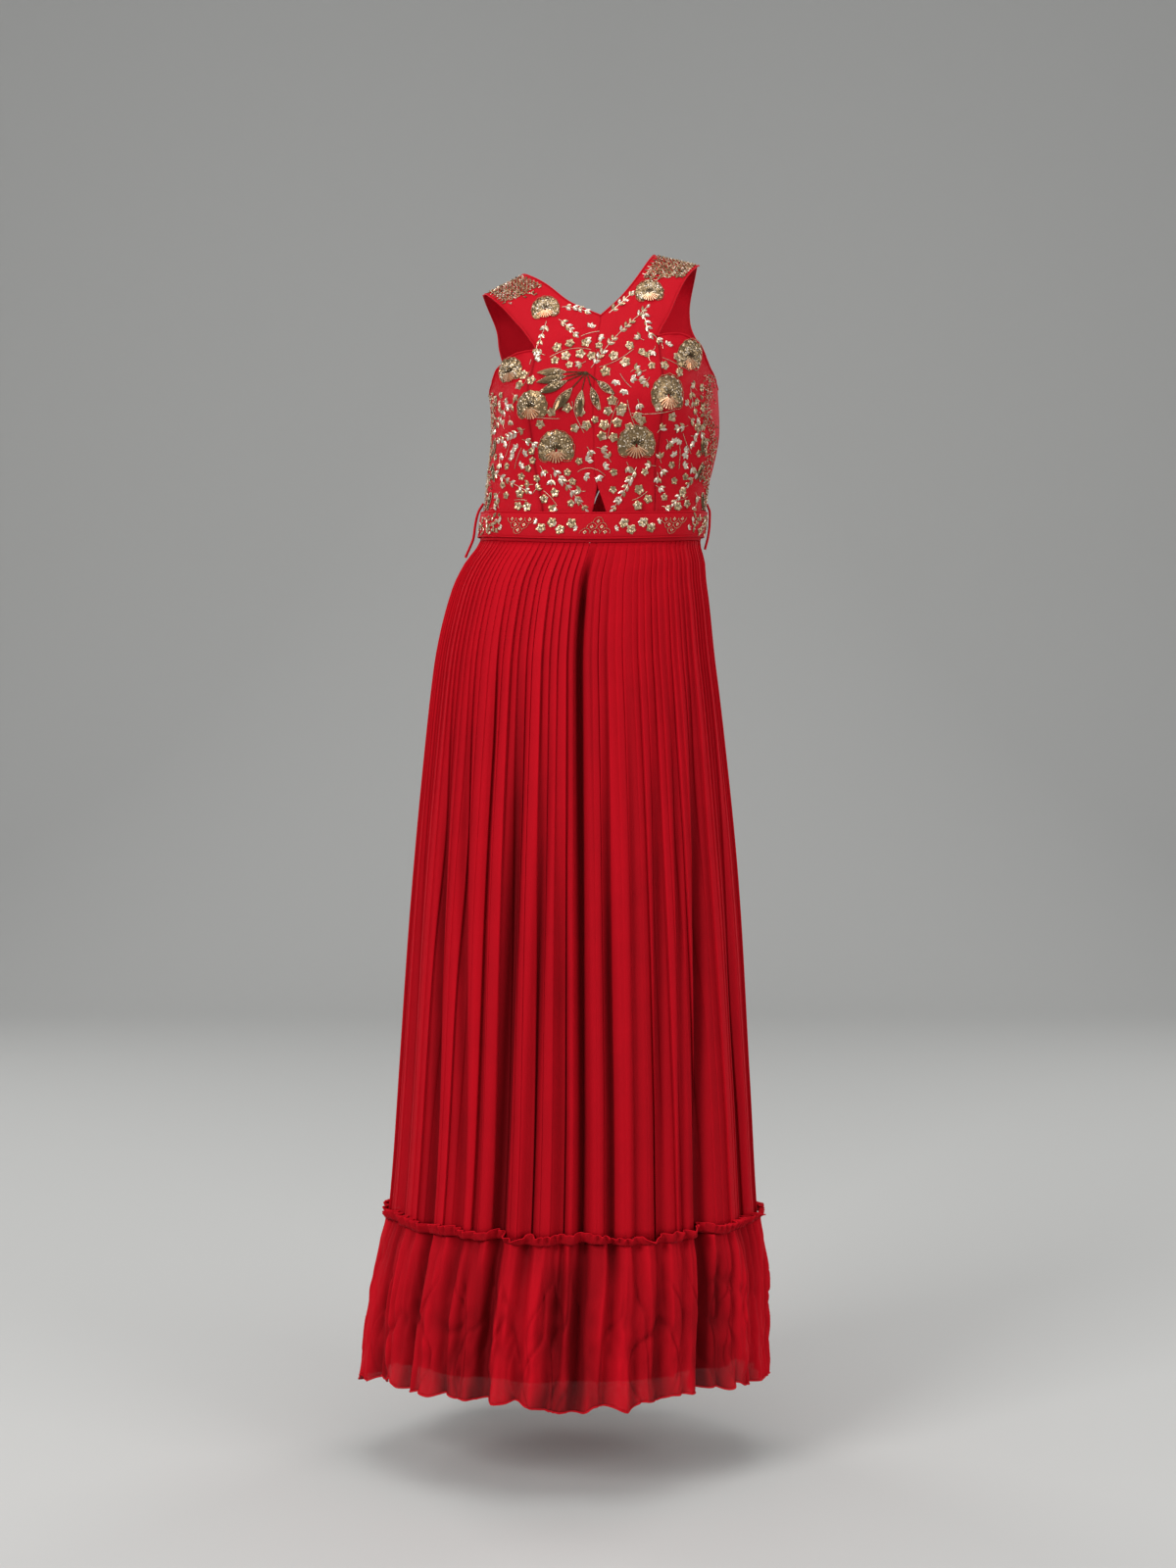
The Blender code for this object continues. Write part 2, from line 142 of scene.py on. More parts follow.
SWAY = (  # height, lean of the centre towards +X
    (0.020, -0.006),
    (-0.080, 0.000),
    (-0.160, 0.007),
    (-0.210, 0.009),
    (-0.280, -0.001),
    (-0.340, -0.009),
    (-0.400, -0.022),
    (-0.500, -0.028),
    (-1.000, -0.028),
    (-1.170, -0.030),
    (-1.300, -0.038),
    (-1.400, -0.043),
)
TURN = (  # height, turn about the upright in degrees
    (0.020, 0.0),
    (-0.080, 1.0),
    (-0.120, -2.3),
    (-0.200, -6.0),
    (-0.250, -4.0),
    (-0.285, 0.5),
    (-0.312, 2.5),
    (-0.345, 0.0),
)
SHOULDER_TILT, WAIST_DIP = 0.12, 0.0075
CUP_ANGLE, CUP_HEIGHT, CUP_FULLNESS = 33.0, -0.180, 0.016
CUP_SPREAD_ANGLE, CUP_SPREAD_HEIGHT = 21.0, 0.042


# %% Curves through points, and points on the form
def through(points, at):
    """A smooth curve through (position, value) points that never swings past them."""
    points = np.asarray(sorted(points), float)
    xs, ys = points[:, 0], points[:, 1]
    rise = np.diff(ys) / np.diff(xs)
    slopes = np.concatenate([rise[:1], rise[1:], rise[-1:]])
    for k in range(1, len(rise)):
        before, after = rise[k - 1], rise[k]
        slopes[k] = 2 * before * after / (before + after) if before * after > 0 else 0.0
    at = np.clip(np.asarray(at, float), xs[0], xs[-1])
    i = np.clip(np.searchsorted(xs, at) - 1, 0, len(xs) - 2)
    step = xs[i + 1] - xs[i]
    t = (at - xs[i]) / step
    start = (2 * t**3 - 3 * t**2 + 1) * ys[i] + (t**3 - 2 * t**2 + t) * step * slopes[i]
    return start + (3 * t**2 - 2 * t**3) * ys[i + 1] + (t**3 - t**2) * step * slopes[i + 1]


def smooth_step(low, high, value):
    t = np.clip((np.asarray(value, float) - low) / (high - low), 0, 1)
    return t * t * (3 - 2 * t)


def form_width(z):
    return through([(row[0], row[1]) for row in FORM], z)


def on_form(angle, z, out=0.0):
    """Points on the form at these angles and heights, moved out from it by a distance."""
    angle, z, out = np.broadcast_arrays(*(np.asarray(v, float) for v in (angle, z, out)))
    turn = np.radians(angle + through(TURN, z))
    side, ahead = np.sin(turn), np.cos(turn)
    width = form_width(z)
    front = through([(row[0], row[2]) for row in FORM], z)
    back = through([(row[0], row[3]) for row in FORM], z)
    depth = np.where(ahead > 0, front, back)
    away = (np.abs((angle + 180) % 360 - 180) - CUP_ANGLE) / CUP_SPREAD_ANGLE
    cup = CUP_FULLNESS * np.exp(-(away**2) - ((z - CUP_HEIGHT) / CUP_SPREAD_HEIGHT) ** 2)
    x = (width + out + cup * 0.35) * side
    below = SHOULDER_RIDGE - SHOULDER_SLOPE * np.abs(x) - z
    near = np.clip(below / SHOULDER_ROUND, 0, 1)
    y = -(depth + out + cup) * ahead * np.sqrt(1 - (1 - near) ** 2)
    lift = np.where(below < SHOULDER_ROUND, out * (1 - near), 0)
    tilt = SHOULDER_TILT * smooth_step(-0.205, -0.115, z)
    dip = WAIST_DIP * np.exp(-(((z + 0.33) / 0.05) ** 2)) * np.clip(ahead, 0, 1) ** 2
    return np.stack([x + through(SWAY, z), y, z + lift + tilt * x - dip], axis=-1)


def angle_of(x, z, behind=False):
    """The angle at which the form is this far from its centre line, in front or behind."""
    turn = np.degrees(np.arcsin(np.clip(np.asarray(x) / form_width(z), -1, 1)))
    return 180 - turn if behind else turn


waist = on_form(np.linspace(0, 360, 200), -0.32)
print("waist round:", round(float(np.linalg.norm(np.diff(waist, axis=0), axis=1).sum()), 3), "m")


# %% [markdown]
# ## Smooth chance
# Hand-gathered cloth is never regular. A lattice of fixed random values, blended smoothly, gives soft
# wandering that closes up round the gown. The seed is fixed, so that the cloth is the same each time.
# %% Wandering values round the gown
def wander(angle, z, round_cells, down_cell, seed):
    """Values from -1 to 1 that drift smoothly: so many cells round the gown, each so many metres high."""
    table = np.random.default_rng(seed).uniform(-1, 1, (64, round_cells))
    a = (np.asarray(angle, float) % 360) / 360 * round_cells
    b = (-np.asarray(z, float)) / down_cell + 7.0
    a, b = np.broadcast_arrays(a, b)
    i, j = np.floor(a).astype(int), np.floor(b).astype(int)
    s, t = a - i, b - j
    s, t = s * s * (3 - 2 * s), t * t * (3 - 2 * t)
    near, far = table[j % 64, i % round_cells], table[j % 64, (i + 1) % round_cells]
    near_low, far_low = table[(j + 1) % 64, i % round_cells], table[(j + 1) % 64, (i + 1) % round_cells]
    return (near * (1 - s) + far * s) * (1 - t) + (near_low * (1 - s) + far_low * s) * t


print("drift at the front:", np.round(wander(np.array([0, 5, 10]), -0.5, 30, 0.2, 1), 2))


# %% [markdown]
# ## Cloth as a thin shell
# A piece of cloth starts as a grid of points: rows run down it and columns run round it. Solidify then
# gives the grid its wall. The grid's own lengths become the UV map, in metres, so that a weave follows
# the cloth round the body. A second number kept on each point, how deep it lies in a fold, is painted
# shade: the material darkens the red towards the bottom of a pleat, in place of self-shadow.
# %% Build cloth from a grid
def half_round(z):
    """Half the way round the smooth form at this height."""
    points = on_form(np.linspace(-90, 90, 91), z)
    return float(np.linalg.norm(np.diff(points, axis=0), axis=1).sum())


# Each cut piece's flat width, length and area. A gathered piece is as wide as the form there, times the
# fullness that shows. A bodice panel takes its size from its pattern, and its area in square metres.
PLEAT_FULLNESS, LINING_FULLNESS, GATHER_FULLNESS, FRILL_FULLNESS = 1.30, 1.05, 1.50, 1.50
SKIRT_CUT = (half_round(-0.75) * PLEAT_FULLNESS, SKIRT_TOP - SKIRT_END, None)
LINING_CUT = (half_round(-0.80) * LINING_FULLNESS, SKIRT_TOP - LINING_END, None)
FLOUNCE_CUT = (half_round(SKIRT_END) * GATHER_FULLNESS, 0.200, None)
FRILL_CUT = (2 * half_round(SKIRT_END) * FRILL_FULLNESS, 0.011, None)
CUTS = {
    "pleated_skirt": SKIRT_CUT,
    "underskirt": LINING_CUT,
    "gathered_flounce": FLOUNCE_CUT,
    "seam_frill": FRILL_CUT,
    "silk_front": (0.125, 0.330, 0.024),
    "silk_side": (0.120, 0.180, 0.0205),
    "silk_back": (0.200, 0.320, 0.041),
    "belt_band": (0.700, 0.030, None),
    "waist_strip": (0.690, 0.030, None),
}


def cut_of(name):
    return next(cut for start, cut in CUTS.items() if name.startswith(start))


def cloth(name, points, wall, material, node, closed=False, depth=None):
    rows, columns = points.shape[:2]
    count = columns if closed else columns - 1
    row, column = np.meshgrid(np.arange(rows - 1), np.arange(count), indexing="ij")
    after = (column + 1) % columns
    corners = [row * columns + column, (row + 1) * columns + column]
    corners += [(row + 1) * columns + after, row * columns + after]
    faces = np.stack(corners, axis=-1).reshape(-1, 4)
    mesh = bpy.data.meshes.new(name)
    mesh.from_pydata(points.reshape(-1, 3).tolist(), [], faces.tolist())
    around = np.linalg.norm(np.diff(points, axis=1), axis=2)
    across = np.concatenate([np.zeros((rows, 1)), np.cumsum(around, axis=1)], axis=1)
    down = np.linalg.norm(np.diff(points, axis=0), axis=2)
    along = np.concatenate([np.zeros((1, columns)), np.cumsum(down, axis=0)], axis=0)
    uv = np.stack([across, along], axis=-1).reshape(-1, 2)
    layer = mesh.uv_layers.new(name="cloth")
    layer.data.foreach_set("uv", uv[faces.reshape(-1)].reshape(-1).astype(np.float32))
    # The fold value is painted shade: the material mixes it into the colour as a darker red, standing in for
    # shade in folds and seams.
    fold_shade = mesh.attributes.new("fold_shade", "FLOAT", "POINT")
    depth = np.zeros((rows, columns)) if depth is None else depth
    fold_shade.data.foreach_set("value", depth.reshape(-1).astype(np.float32))
    mesh.materials.append(material)
    mesh.shade_smooth()
    piece = bpy.data.objects.new(name, mesh)
    bpy.context.scene.collection.objects.link(piece)
    thickness = piece.modifiers.new("cloth thickness", "SOLIDIFY")
    thickness.thickness = wall
    thickness.offset = -1.0
    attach(piece, "root")
    if node:
        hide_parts(node)
    wide, long, area = cut_of(name)
    shows = float(grid_area(points, closed))
    share = shows / (area or wide * long)
    print(f"{name}: cut {wide:.3f} x {long:.3f} m, {shows:.4f} m2 made, {share:.2f} of its cut")
    return piece


def grid_area(points, closed=False):
    around = np.roll(points, -1, axis=1) if closed else points[:, 1:]
    here = points if closed else points[:, :-1]
    down, across = here[1:] - here[:-1], around[:-1] - here[:-1]
    return np.linalg.norm(np.cross(down, across), axis=2).sum()


# %% [markdown]
# ## Georgette
# Georgette is a fine crepe of hard-twisted thread: matt, slightly grainy and a little see-through. Two
# layers of the thin shell let the lining and the light behind show at the edges. The crepe grain and the
# fine pressed lines are a bump, and the fold depth paints shade into the red, darker deep in a fold.
# %% A node group for a woven grain
def new_group(name, inputs, outputs):
    group = bpy.data.node_groups.new(name, "ShaderNodeTree")
    for label, kind, value in inputs:
        socket = group.interface.new_socket(label, in_out="INPUT", socket_type=kind)
        if value is not None:
            socket.default_value = value
    for label, kind in outputs:
        group.interface.new_socket(label, in_out="OUTPUT", socket_type=kind)
    return group, group.nodes.new("NodeGroupInput"), group.nodes.new("NodeGroupOutput")


def node(tree, kind, settings=None, **sockets):
    made = tree.nodes.new(kind)
    for key, value in (settings or {}).items():
        setattr(made, key, value)
    for key, value in sockets.items():
        made.inputs[key.replace("_", " ")].default_value = value
    return made


def math_node(tree, operation, first, second=None, clamp=False):
    made = node(tree, "ShaderNodeMath", {"operation": operation, "use_clamp": clamp})
    for index, value in enumerate((first, second)):
        if value is None:
            continue
        if isinstance(value, (int, float)):
            made.inputs[index].default_value = value
        else:
            tree.links.new(value, made.inputs[index])
    return made.outputs[0]


weave, weave_in, weave_out = new_group(
    "woven grain",
    [
        ("Threads per metre", "NodeSocketFloat", 900.0),
        ("Slub", "NodeSocketFloat", 0.5),
        ("Slub length", "NodeSocketFloat", 0.02),
    ],
    [("Height", "NodeSocketFloat"), ("Mottle", "NodeSocketFloat")],
)
uv = node(weave, "ShaderNodeUVMap", {"uv_map": "cloth"})
parts = node(weave, "ShaderNodeSeparateXYZ")
weave.links.new(uv.outputs["UV"], parts.inputs[0])
turns = math_node(weave, "MULTIPLY", weave_in.outputs["Threads per metre"], 2 * math.pi)
warp = math_node(weave, "SINE", math_node(weave, "MULTIPLY", parts.outputs["X"], turns))
weft = math_node(weave, "SINE", math_node(weave, "MULTIPLY", parts.outputs["Y"], turns))
cross = math_node(weave, "MULTIPLY", warp, weft)
stretch = node(weave, "ShaderNodeCombineXYZ")
long_way = math_node(weave, "DIVIDE", 1.0, weave_in.outputs["Slub length"])
weave.links.new(math_node(weave, "MULTIPLY", parts.outputs["X"], long_way), stretch.inputs["X"])
weave.links.new(math_node(weave, "MULTIPLY", parts.outputs["Y"], 1400.0), stretch.inputs["Y"])
slub = node(weave, "ShaderNodeTexNoise", {}, Scale=1.0, Detail=2.0, Roughness=0.6)
weave.links.new(stretch.outputs[0], slub.inputs["Vector"])
cloud = node(weave, "ShaderNodeTexNoise", {}, Scale=18.0, Detail=3.0, Roughness=0.55)
weave.links.new(uv.outputs["UV"], cloud.inputs["Vector"])
slub_height = math_node(weave, "MULTIPLY", slub.outputs["Fac"], weave_in.outputs["Slub"])
grain = math_node(weave, "MULTIPLY", cross, 0.25)
weave.links.new(math_node(weave, "ADD", grain, slub_height), weave_out.inputs["Height"])
weave.links.new(cloud.outputs["Fac"], weave_out.inputs["Mottle"])
print("group:", weave.name)


# %% Red cloths
def red_cloth(name, light, shade_colour, roughness, alpha, threads, slub_share, slub_length, bump, sheen):
    material = bpy.data.materials.new(name)
    material.use_nodes = True
    tree = material.node_tree
    shader = tree.nodes["Principled BSDF"]
    shader.inputs["Roughness"].default_value = roughness
    shader.inputs["Sheen Weight"].default_value = sheen
    shader.inputs["Sheen Roughness"].default_value = 0.4
    shader.inputs["Sheen Tint"].default_value = (1.0, 0.15, 0.18, 1)
    shader.inputs["Specular IOR Level"].default_value = 0.10
    shader.inputs["Alpha"].default_value = alpha
    woven = node(tree, "ShaderNodeGroup", {"node_tree": weave})
    woven.inputs["Threads per metre"].default_value = threads
    woven.inputs["Slub"].default_value = slub_share
    woven.inputs["Slub length"].default_value = slub_length
    # The fold attribute paints shade into the colour: added to the cloth's own mottle, it moves the red
    # towards the darker shade colour.
    fold_shade = node(tree, "ShaderNodeAttribute", {"attribute_name": "fold_shade"})
    shade = math_node(
        tree, "ADD", fold_shade.outputs["Fac"], math_node(tree, "MULTIPLY", woven.outputs["Mottle"], 0.22)
    )
    colours = node(tree, "ShaderNodeValToRGB")
    colours.color_ramp.elements[0].position = 0.05
    colours.color_ramp.elements[0].color = (*light, 1)
    colours.color_ramp.elements[1].position = 1.0
    colours.color_ramp.elements[1].color = (*shade_colour, 1)
    tree.links.new(shade, colours.inputs["Fac"])
    tree.links.new(colours.outputs["Color"], shader.inputs["Base Color"])
    raised = node(tree, "ShaderNodeBump", {}, Strength=bump, Distance=0.0004)
    tree.links.new(woven.outputs["Height"], raised.inputs["Height"])
    tree.links.new(raised.outputs["Normal"], shader.inputs["Normal"])
    return material


# The second colour of each cloth is painted shade: the darker red given to deep folds and seams.
RED, PAINTED_SHADE_RED = (0.58, 0.0022, 0.0115), (0.17, 0.0006, 0.0030)
georgette = red_cloth("red georgette", RED, PAINTED_SHADE_RED, 0.80, 0.86, 1500, 0.5, 0.0015, 0.25, 0.02)
raw_silk = red_cloth(
    "red raw silk", (0.50, 0.0020, 0.0110), (0.14, 0.0006, 0.0025), 0.60, 1.0, 1300, 1.1, 0.018, 0.60, 0.01
)
crepe = red_cloth(
    "lining crepe", (0.46, 0.0020, 0.0100), (0.15, 0.0006, 0.003), 0.7, 1.0, 1200, 0.4, 0.003, 0.2, 0.1
)
print("cloths:", georgette.name, raw_silk.name, crepe.name)

# %% [markdown]
# ## The pleated skirt
# The skirt is knife pleated: each pleat is a flat face that ends in a sharp edge, and the cloth then
# returns under it. Near the waist the pleats stand side by side. Lower down they open, and groups of
# them fall together into larger folds. So three levels of the same sawtooth are added: fine pleats that
# fade, middle folds that grow, and main folds placed one by one.
# %% Where the pleats lie
PLEATS = 54  # on each half of the skirt
FOLD_POINTS = (0.0, 0.07, 0.2, 0.42, 0.66, 0.86, 0.955, 0.975, 0.992)  # places across one pleat
# Main folds: angle at the waist, angle at the hem, half width in degrees, depth, start and full height
MAIN_FOLDS = (
    (-72, -70, 2.5, 0.008, -0.50, -0.95),
    (-57, -51, 2.0, 0.014, -0.50, -0.80),
    (-46, -38, 2.0, 0.010, -0.45, -0.70),
    (-33, -32, 1.5, 0.007, -0.40, -0.60),
    (-21, -24, 2.5, 0.020, -0.42, -0.85),
    (-10, -14, 2.0, 0.012, -0.50, -0.85),
    (-5, -4, 2.0, 0.013, -0.55, -0.90),
    (2, 3, 2.0, 0.020, -0.33, -0.44),
    (12, 12, 2.0, 0.014, -0.50, -0.90),
    (22, 20, 1.5, 0.008, -0.44, -0.80),
    (32, 28, 2.0, 0.011, -0.50, -0.80),
    (42, 36, 1.5, 0.008, -0.45, -0.75),
    (53, 44, 2.5, 0.020, -0.46, -0.85),
    (70, 68, 2.0, 0.011, -0.55, -0.95),
    (103, 100, 2.0, 0.018, -0.50, -0.90),
    (120, 120, 2.5, 0.022, -0.45, -0.90),
    (138, 138, 2.0, 0.014, -0.50, -0.90),
    (154, 156, 2.5, 0.022, -0.42, -0.85),
    (168, 166, 1.5, 0.009, -0.46, -0.80),
    (178, 179, 2.0, 0.018, -0.35, -0.50),
    (194, 195, 2.5, 0.022, -0.45, -0.90),
    (213, 213, 2.0, 0.012, -0.50, -0.90),
    (231, 232, 2.5, 0.022, -0.45, -0.90),
    (252, 255, 2.0, 0.017, -0.50, -0.90),
)


def pleat_columns(middle, pleats, jitter, seed):
    """The pleat edges' angles, and each column's place counted in pleats, for one half of the skirt."""
    chance = np.random.default_rng(seed)
    edges = np.linspace(-90, 90, pleats + 1)
    edges[1:-1] += chance.uniform(-jitter, jitter, pleats - 1) * 180 / pleats
    left = [k + f for k in range(pleats // 2) for f in FOLD_POINTS]
    right = [pleats - place for place in left[::-1]]
    places = np.array(left + [pleats / 2] + right)
    return edges + middle, places


def sawtooth(places, stops, pleats, power):
    """0 on the face's proud edge and 1 in the groove: faces rise towards the middle of the panel."""
    mirrored = np.where(places > pleats / 2, pleats - places, places)
    stops = np.unique(np.minimum(stops, pleats / 2))
    i = np.clip(np.searchsorted(stops, mirrored, side="right") - 1, 0, len(stops) - 2)
    share = (mirrored - stops[i]) / (stops[i + 1] - stops[i])
    under = np.clip((mirrored - (stops[i + 1] - 0.045)) / 0.04, 0, 1)
    return (1 - share) ** power * (1 - under) + under


def main_fold_depth(angle, z):
    """How far the main folds push in at these angles and heights."""
    angle, z = np.broadcast_arrays(np.asarray(angle, float), np.asarray(z, float))
    depth = np.zeros(angle.shape)
    down = smooth_step(0.45, 1.17, -z)
    for top, hem, half, deep, start, full in MAIN_FOLDS:
        middle = top + (hem - top) * down
        away = ((angle - middle + 180) % 360 - 180) / half
        trough = np.exp(-np.abs(away) ** 2.6)
        shoulder = 0.34 * np.exp(-((away / 3.4) ** 2))
        depth = np.maximum(depth, deep * (trough * 0.78 + shoulder * 0.65) * smooth_step(-start, -full, -z))
    return depth


def skirt_form(angle, z, out):
    """Skirt points, with the outer cloth's own soft unevenness."""
    soft = 0.0016 * smooth_step(0.40, 0.75, -z) * wander(angle, z, 40, 0.35, 5)
    return on_form(angle, z, out + soft - main_fold_depth(angle, z))


print("main folds:", len(MAIN_FOLDS), "and fine pleats:", 2 * PLEATS)


# %% Skirt front and back
def skirt_panel(middle, seed, rows=66):
    edges, places = pleat_columns(middle, PLEATS, 0.16, seed)
    chance = np.random.default_rng(seed + 50)
    z = SKIRT_TOP - (SKIRT_TOP - SKIRT_END) * (np.linspace(0, 1, rows)[:, None] ** 1.12)
    angle = np.interp(places, np.arange(PLEATS + 1), edges)[None, :]
    near = np.minimum(np.floor(places).astype(int), PLEATS - 1)
    fading = chance.uniform(0.2, 1.0, PLEATS)[near]
    stout = chance.uniform(0.6, 1.35, PLEATS)[near]
    fine = sawtooth(places, np.arange(PLEATS // 2 + 1.0), PLEATS, 0.9)
    stops = np.concatenate([[0], np.cumsum(chance.integers(2, 5, 14))])
    middle_fold = sawtooth(places, stops.astype(float), PLEATS, 1.1)
    fine_size = through(
        [(0.3425, 0.0009), (0.365, 0.0022), (0.50, 0.0027), (0.75, 0.0016), (1.17, 0.0009)], -z
    )
    fine_size = fine_size * stout * (1 - smooth_step(0.45, 0.95, -z) * (1 - fading))
    middle_size = through([(0.3425, 0.0), (0.42, 0.0010), (0.60, 0.0026), (0.90, 0.0038), (1.17, 0.0034)], -z)
    share = fine * fine_size + middle_fold * middle_size
    # Each proud edge leans over the groove beside it.
    towards = np.where(places > PLEATS / 2, -1.0, 1.0)
    lean = (
        np.exp(-((fine / 0.10) ** 2)) * 0.10
        + np.exp(-((middle_fold / 0.12) ** 2)) * 0.5 * middle_size / 0.005
    )
    grid = skirt_form(angle + towards * lean, z, -share)
    # Painted shade: the colour darkens with how deep a point lies in a pleat's groove and in a main fold.
    depth = np.clip(share / 0.011 + main_fold_depth(angle, z) / 0.026, 0, 1)
    return grid, depth


front, front_fold_shade = skirt_panel(0, 11)
back, back_fold_shade = skirt_panel(180, 12)
cloth(
    "pleated_skirt_front", front, 0.0005, georgette, "skirt_front",
    depth=front_fold_shade,
)
cloth(
    "pleated_skirt_back", back, 0.0005, georgette, "skirt_back",
    depth=back_fold_shade,
)


# %% [markdown]
# ## The lining
# A plain crepe underskirt keeps the sheer georgette decent. It is cut smaller and shorter, so the outer
# cloth stands clear of it at the sides and the hem. It passes inside the deepest fold at every angle.
# %% Lining front and back
LINING_DROP = 0.018


def lining_panel(middle):
    angle = middle + np.linspace(-89.6, 89.6, 73)[None, :]
    z = np.linspace(SKIRT_TOP, LINING_END - LINING_DROP, 40)[:, None]
    inset = 0.0065 + 0.0080 * smooth_step(0.35, 0.70, -z)
    folds = np.max([main_fold_depth(angle + turn, z) for turn in np.arange(-5, 5.1, 1.0)], axis=0)
    shift = 0.0015 * wander(angle, z, 24, 0.4, 8)
    return on_form(angle, z, -inset - folds - shift)


for side, middle in (("front", 0), ("back", 180)):
    cloth(
        f"underskirt_{side}", lining_panel(middle), 0.0006, crepe, f"skirt_lining_{side}",
    )

# %% [markdown]
# ## Tubes and laid elements by Geometry Nodes
# Piping, rolled hems and embroidery stems all follow a path, so one node tree turns any path into a
# tube. Sequins, beads and petals are the same few shapes laid hundreds of times. A second tree puts a
# shape on every point, turned by two directions kept on the point and sized by a third. Both trees end
# in real mesh, because instances can't be exported.
# %% Tree one: a tube along a path
def tree_input(tree, label, kind, value=None):
    socket = tree.interface.new_socket(label, in_out="INPUT", socket_type=kind)
    if value is not None:
        socket.default_value = value
    return socket.identifier


def new_tree(name):
    tree = bpy.data.node_groups.new(name, "GeometryNodeTree")
    tree.interface.new_socket("Geometry", in_out="INPUT", socket_type="NodeSocketGeometry")
    tree.interface.new_socket("Geometry", in_out="OUTPUT", socket_type="NodeSocketGeometry")
    return tree


def end_tree(tree, shape, goes_in):
    """Realize the instances, set the material and go out."""
    solid = tree.nodes.new("GeometryNodeRealizeInstances")
    paint = tree.nodes.new("GeometryNodeSetMaterial")
    goes_out = tree.nodes.new("NodeGroupOutput")
    tree.links.new(shape, solid.inputs[0])
    tree.links.new(solid.outputs[0], paint.inputs["Geometry"])
    tree.links.new(goes_in.outputs["Material"], paint.inputs["Material"])
    tree.links.new(paint.outputs[0], goes_out.inputs[0])


tube_tree = new_tree("tube along a path")
TUBE_RADIUS = tree_input(tube_tree, "Radius", "NodeSocketFloat", 0.001)
TUBE_SIDES = tree_input(tube_tree, "Sides", "NodeSocketInt", 6)
TUBE_MATERIAL = tree_input(tube_tree, "Material", "NodeSocketMaterial")
tube_in = tube_tree.nodes.new("NodeGroupInput")
to_curve = tube_tree.nodes.new("GeometryNodeMeshToCurve")
ring = tube_tree.nodes.new("GeometryNodeCurvePrimitiveCircle")
sweep_node = tube_tree.nodes.new("GeometryNodeCurveToMesh")
sweep_node.inputs["Fill Caps"].default_value = True
tube_tree.links.new(tube_in.outputs["Geometry"], to_curve.inputs["Mesh"])
tube_tree.links.new(tube_in.outputs["Radius"], ring.inputs["Radius"])
tube_tree.links.new(tube_in.outputs["Sides"], ring.inputs["Resolution"])
tube_tree.links.new(to_curve.outputs[0], sweep_node.inputs["Curve"])
tube_tree.links.new(ring.outputs[0], sweep_node.inputs["Profile Curve"])
end_tree(tube_tree, sweep_node.outputs[0], tube_in)

# %% Tree two: a shape on every point
laid_tree = new_tree("shape on every point")
LAID_SHAPE = tree_input(laid_tree, "Shape", "NodeSocketObject")
LAID_MATERIAL = tree_input(laid_tree, "Material", "NodeSocketMaterial")
laid_in = laid_tree.nodes.new("NodeGroupInput")
shape_info = laid_tree.nodes.new("GeometryNodeObjectInfo")
laid_tree.links.new(laid_in.outputs["Shape"], shape_info.inputs["Object"])
put = laid_tree.nodes.new("GeometryNodeInstanceOnPoints")
laid_tree.links.new(laid_in.outputs["Geometry"], put.inputs["Points"])
laid_tree.links.new(shape_info.outputs["Geometry"], put.inputs["Instance"])


def kept_vector(tree, label):
    read = tree.nodes.new("GeometryNodeInputNamedAttribute")
    read.data_type = "FLOAT_VECTOR"
    read.inputs["Name"].default_value = label
    return read.outputs["Attribute"]


facing = laid_tree.nodes.new("FunctionNodeAxesToRotation")
facing.primary_axis = "Z"
facing.secondary_axis = "X"
laid_tree.links.new(kept_vector(laid_tree, "away"), facing.inputs["Primary Axis"])
laid_tree.links.new(kept_vector(laid_tree, "along"), facing.inputs["Secondary Axis"])
laid_tree.links.new(facing.outputs[0], put.inputs["Rotation"])
laid_tree.links.new(kept_vector(laid_tree, "size"), put.inputs["Scale"])
end_tree(laid_tree, put.outputs[0], laid_in)
print("trees:", tube_tree.name, "and", laid_tree.name)


# %% Turn a tree's result into a plain piece
def grown(name, mesh, tree, values, smooth=True):
    """A plain mesh piece from a starting mesh and a tree with its inputs set."""
    start = bpy.data.objects.new(name + "_start", mesh)
    bpy.context.scene.collection.objects.link(start)
    modifier = start.modifiers.new("grow", "NODES")
    modifier.node_group = tree
    for identifier, value in values.items():
        modifier[identifier] = value
    graph = bpy.context.evaluated_depsgraph_get()
    made = bpy.data.meshes.new_from_object(start.evaluated_get(graph))
    bpy.data.objects.remove(start)
    made.name = name
    piece = bpy.data.objects.new(name, made)
    bpy.context.scene.collection.objects.link(piece)
    if smooth:
        made.shade_smooth()
    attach(piece, "root")
    print(f"{name}: {sum(len(p.vertices) - 2 for p in made.polygons)} triangles")
    return piece


def tubes(name, paths, radius, material, sides=6):
    """One piece of tubes along several paths; a path that ends where it starts closes up."""
    points, edges = [], []
    for path in paths:
        path = np.asarray(path, float)
        ring_path = np.linalg.norm(path[0] - path[-1]) < 1e-6
        path = path[:-1] if ring_path else path
        first = len(points)
        points += path.tolist()
        edges += [(first + i, first + i + 1) for i in range(len(path) - 1)]
        if ring_path:
            edges.append((first + len(path) - 1, first))
    mesh = bpy.data.meshes.new(name)
    mesh.from_pydata(points, edges, [])
    values = {TUBE_RADIUS: radius, TUBE_SIDES: sides, TUBE_MATERIAL: material}
    return grown(name, mesh, tube_tree, values)


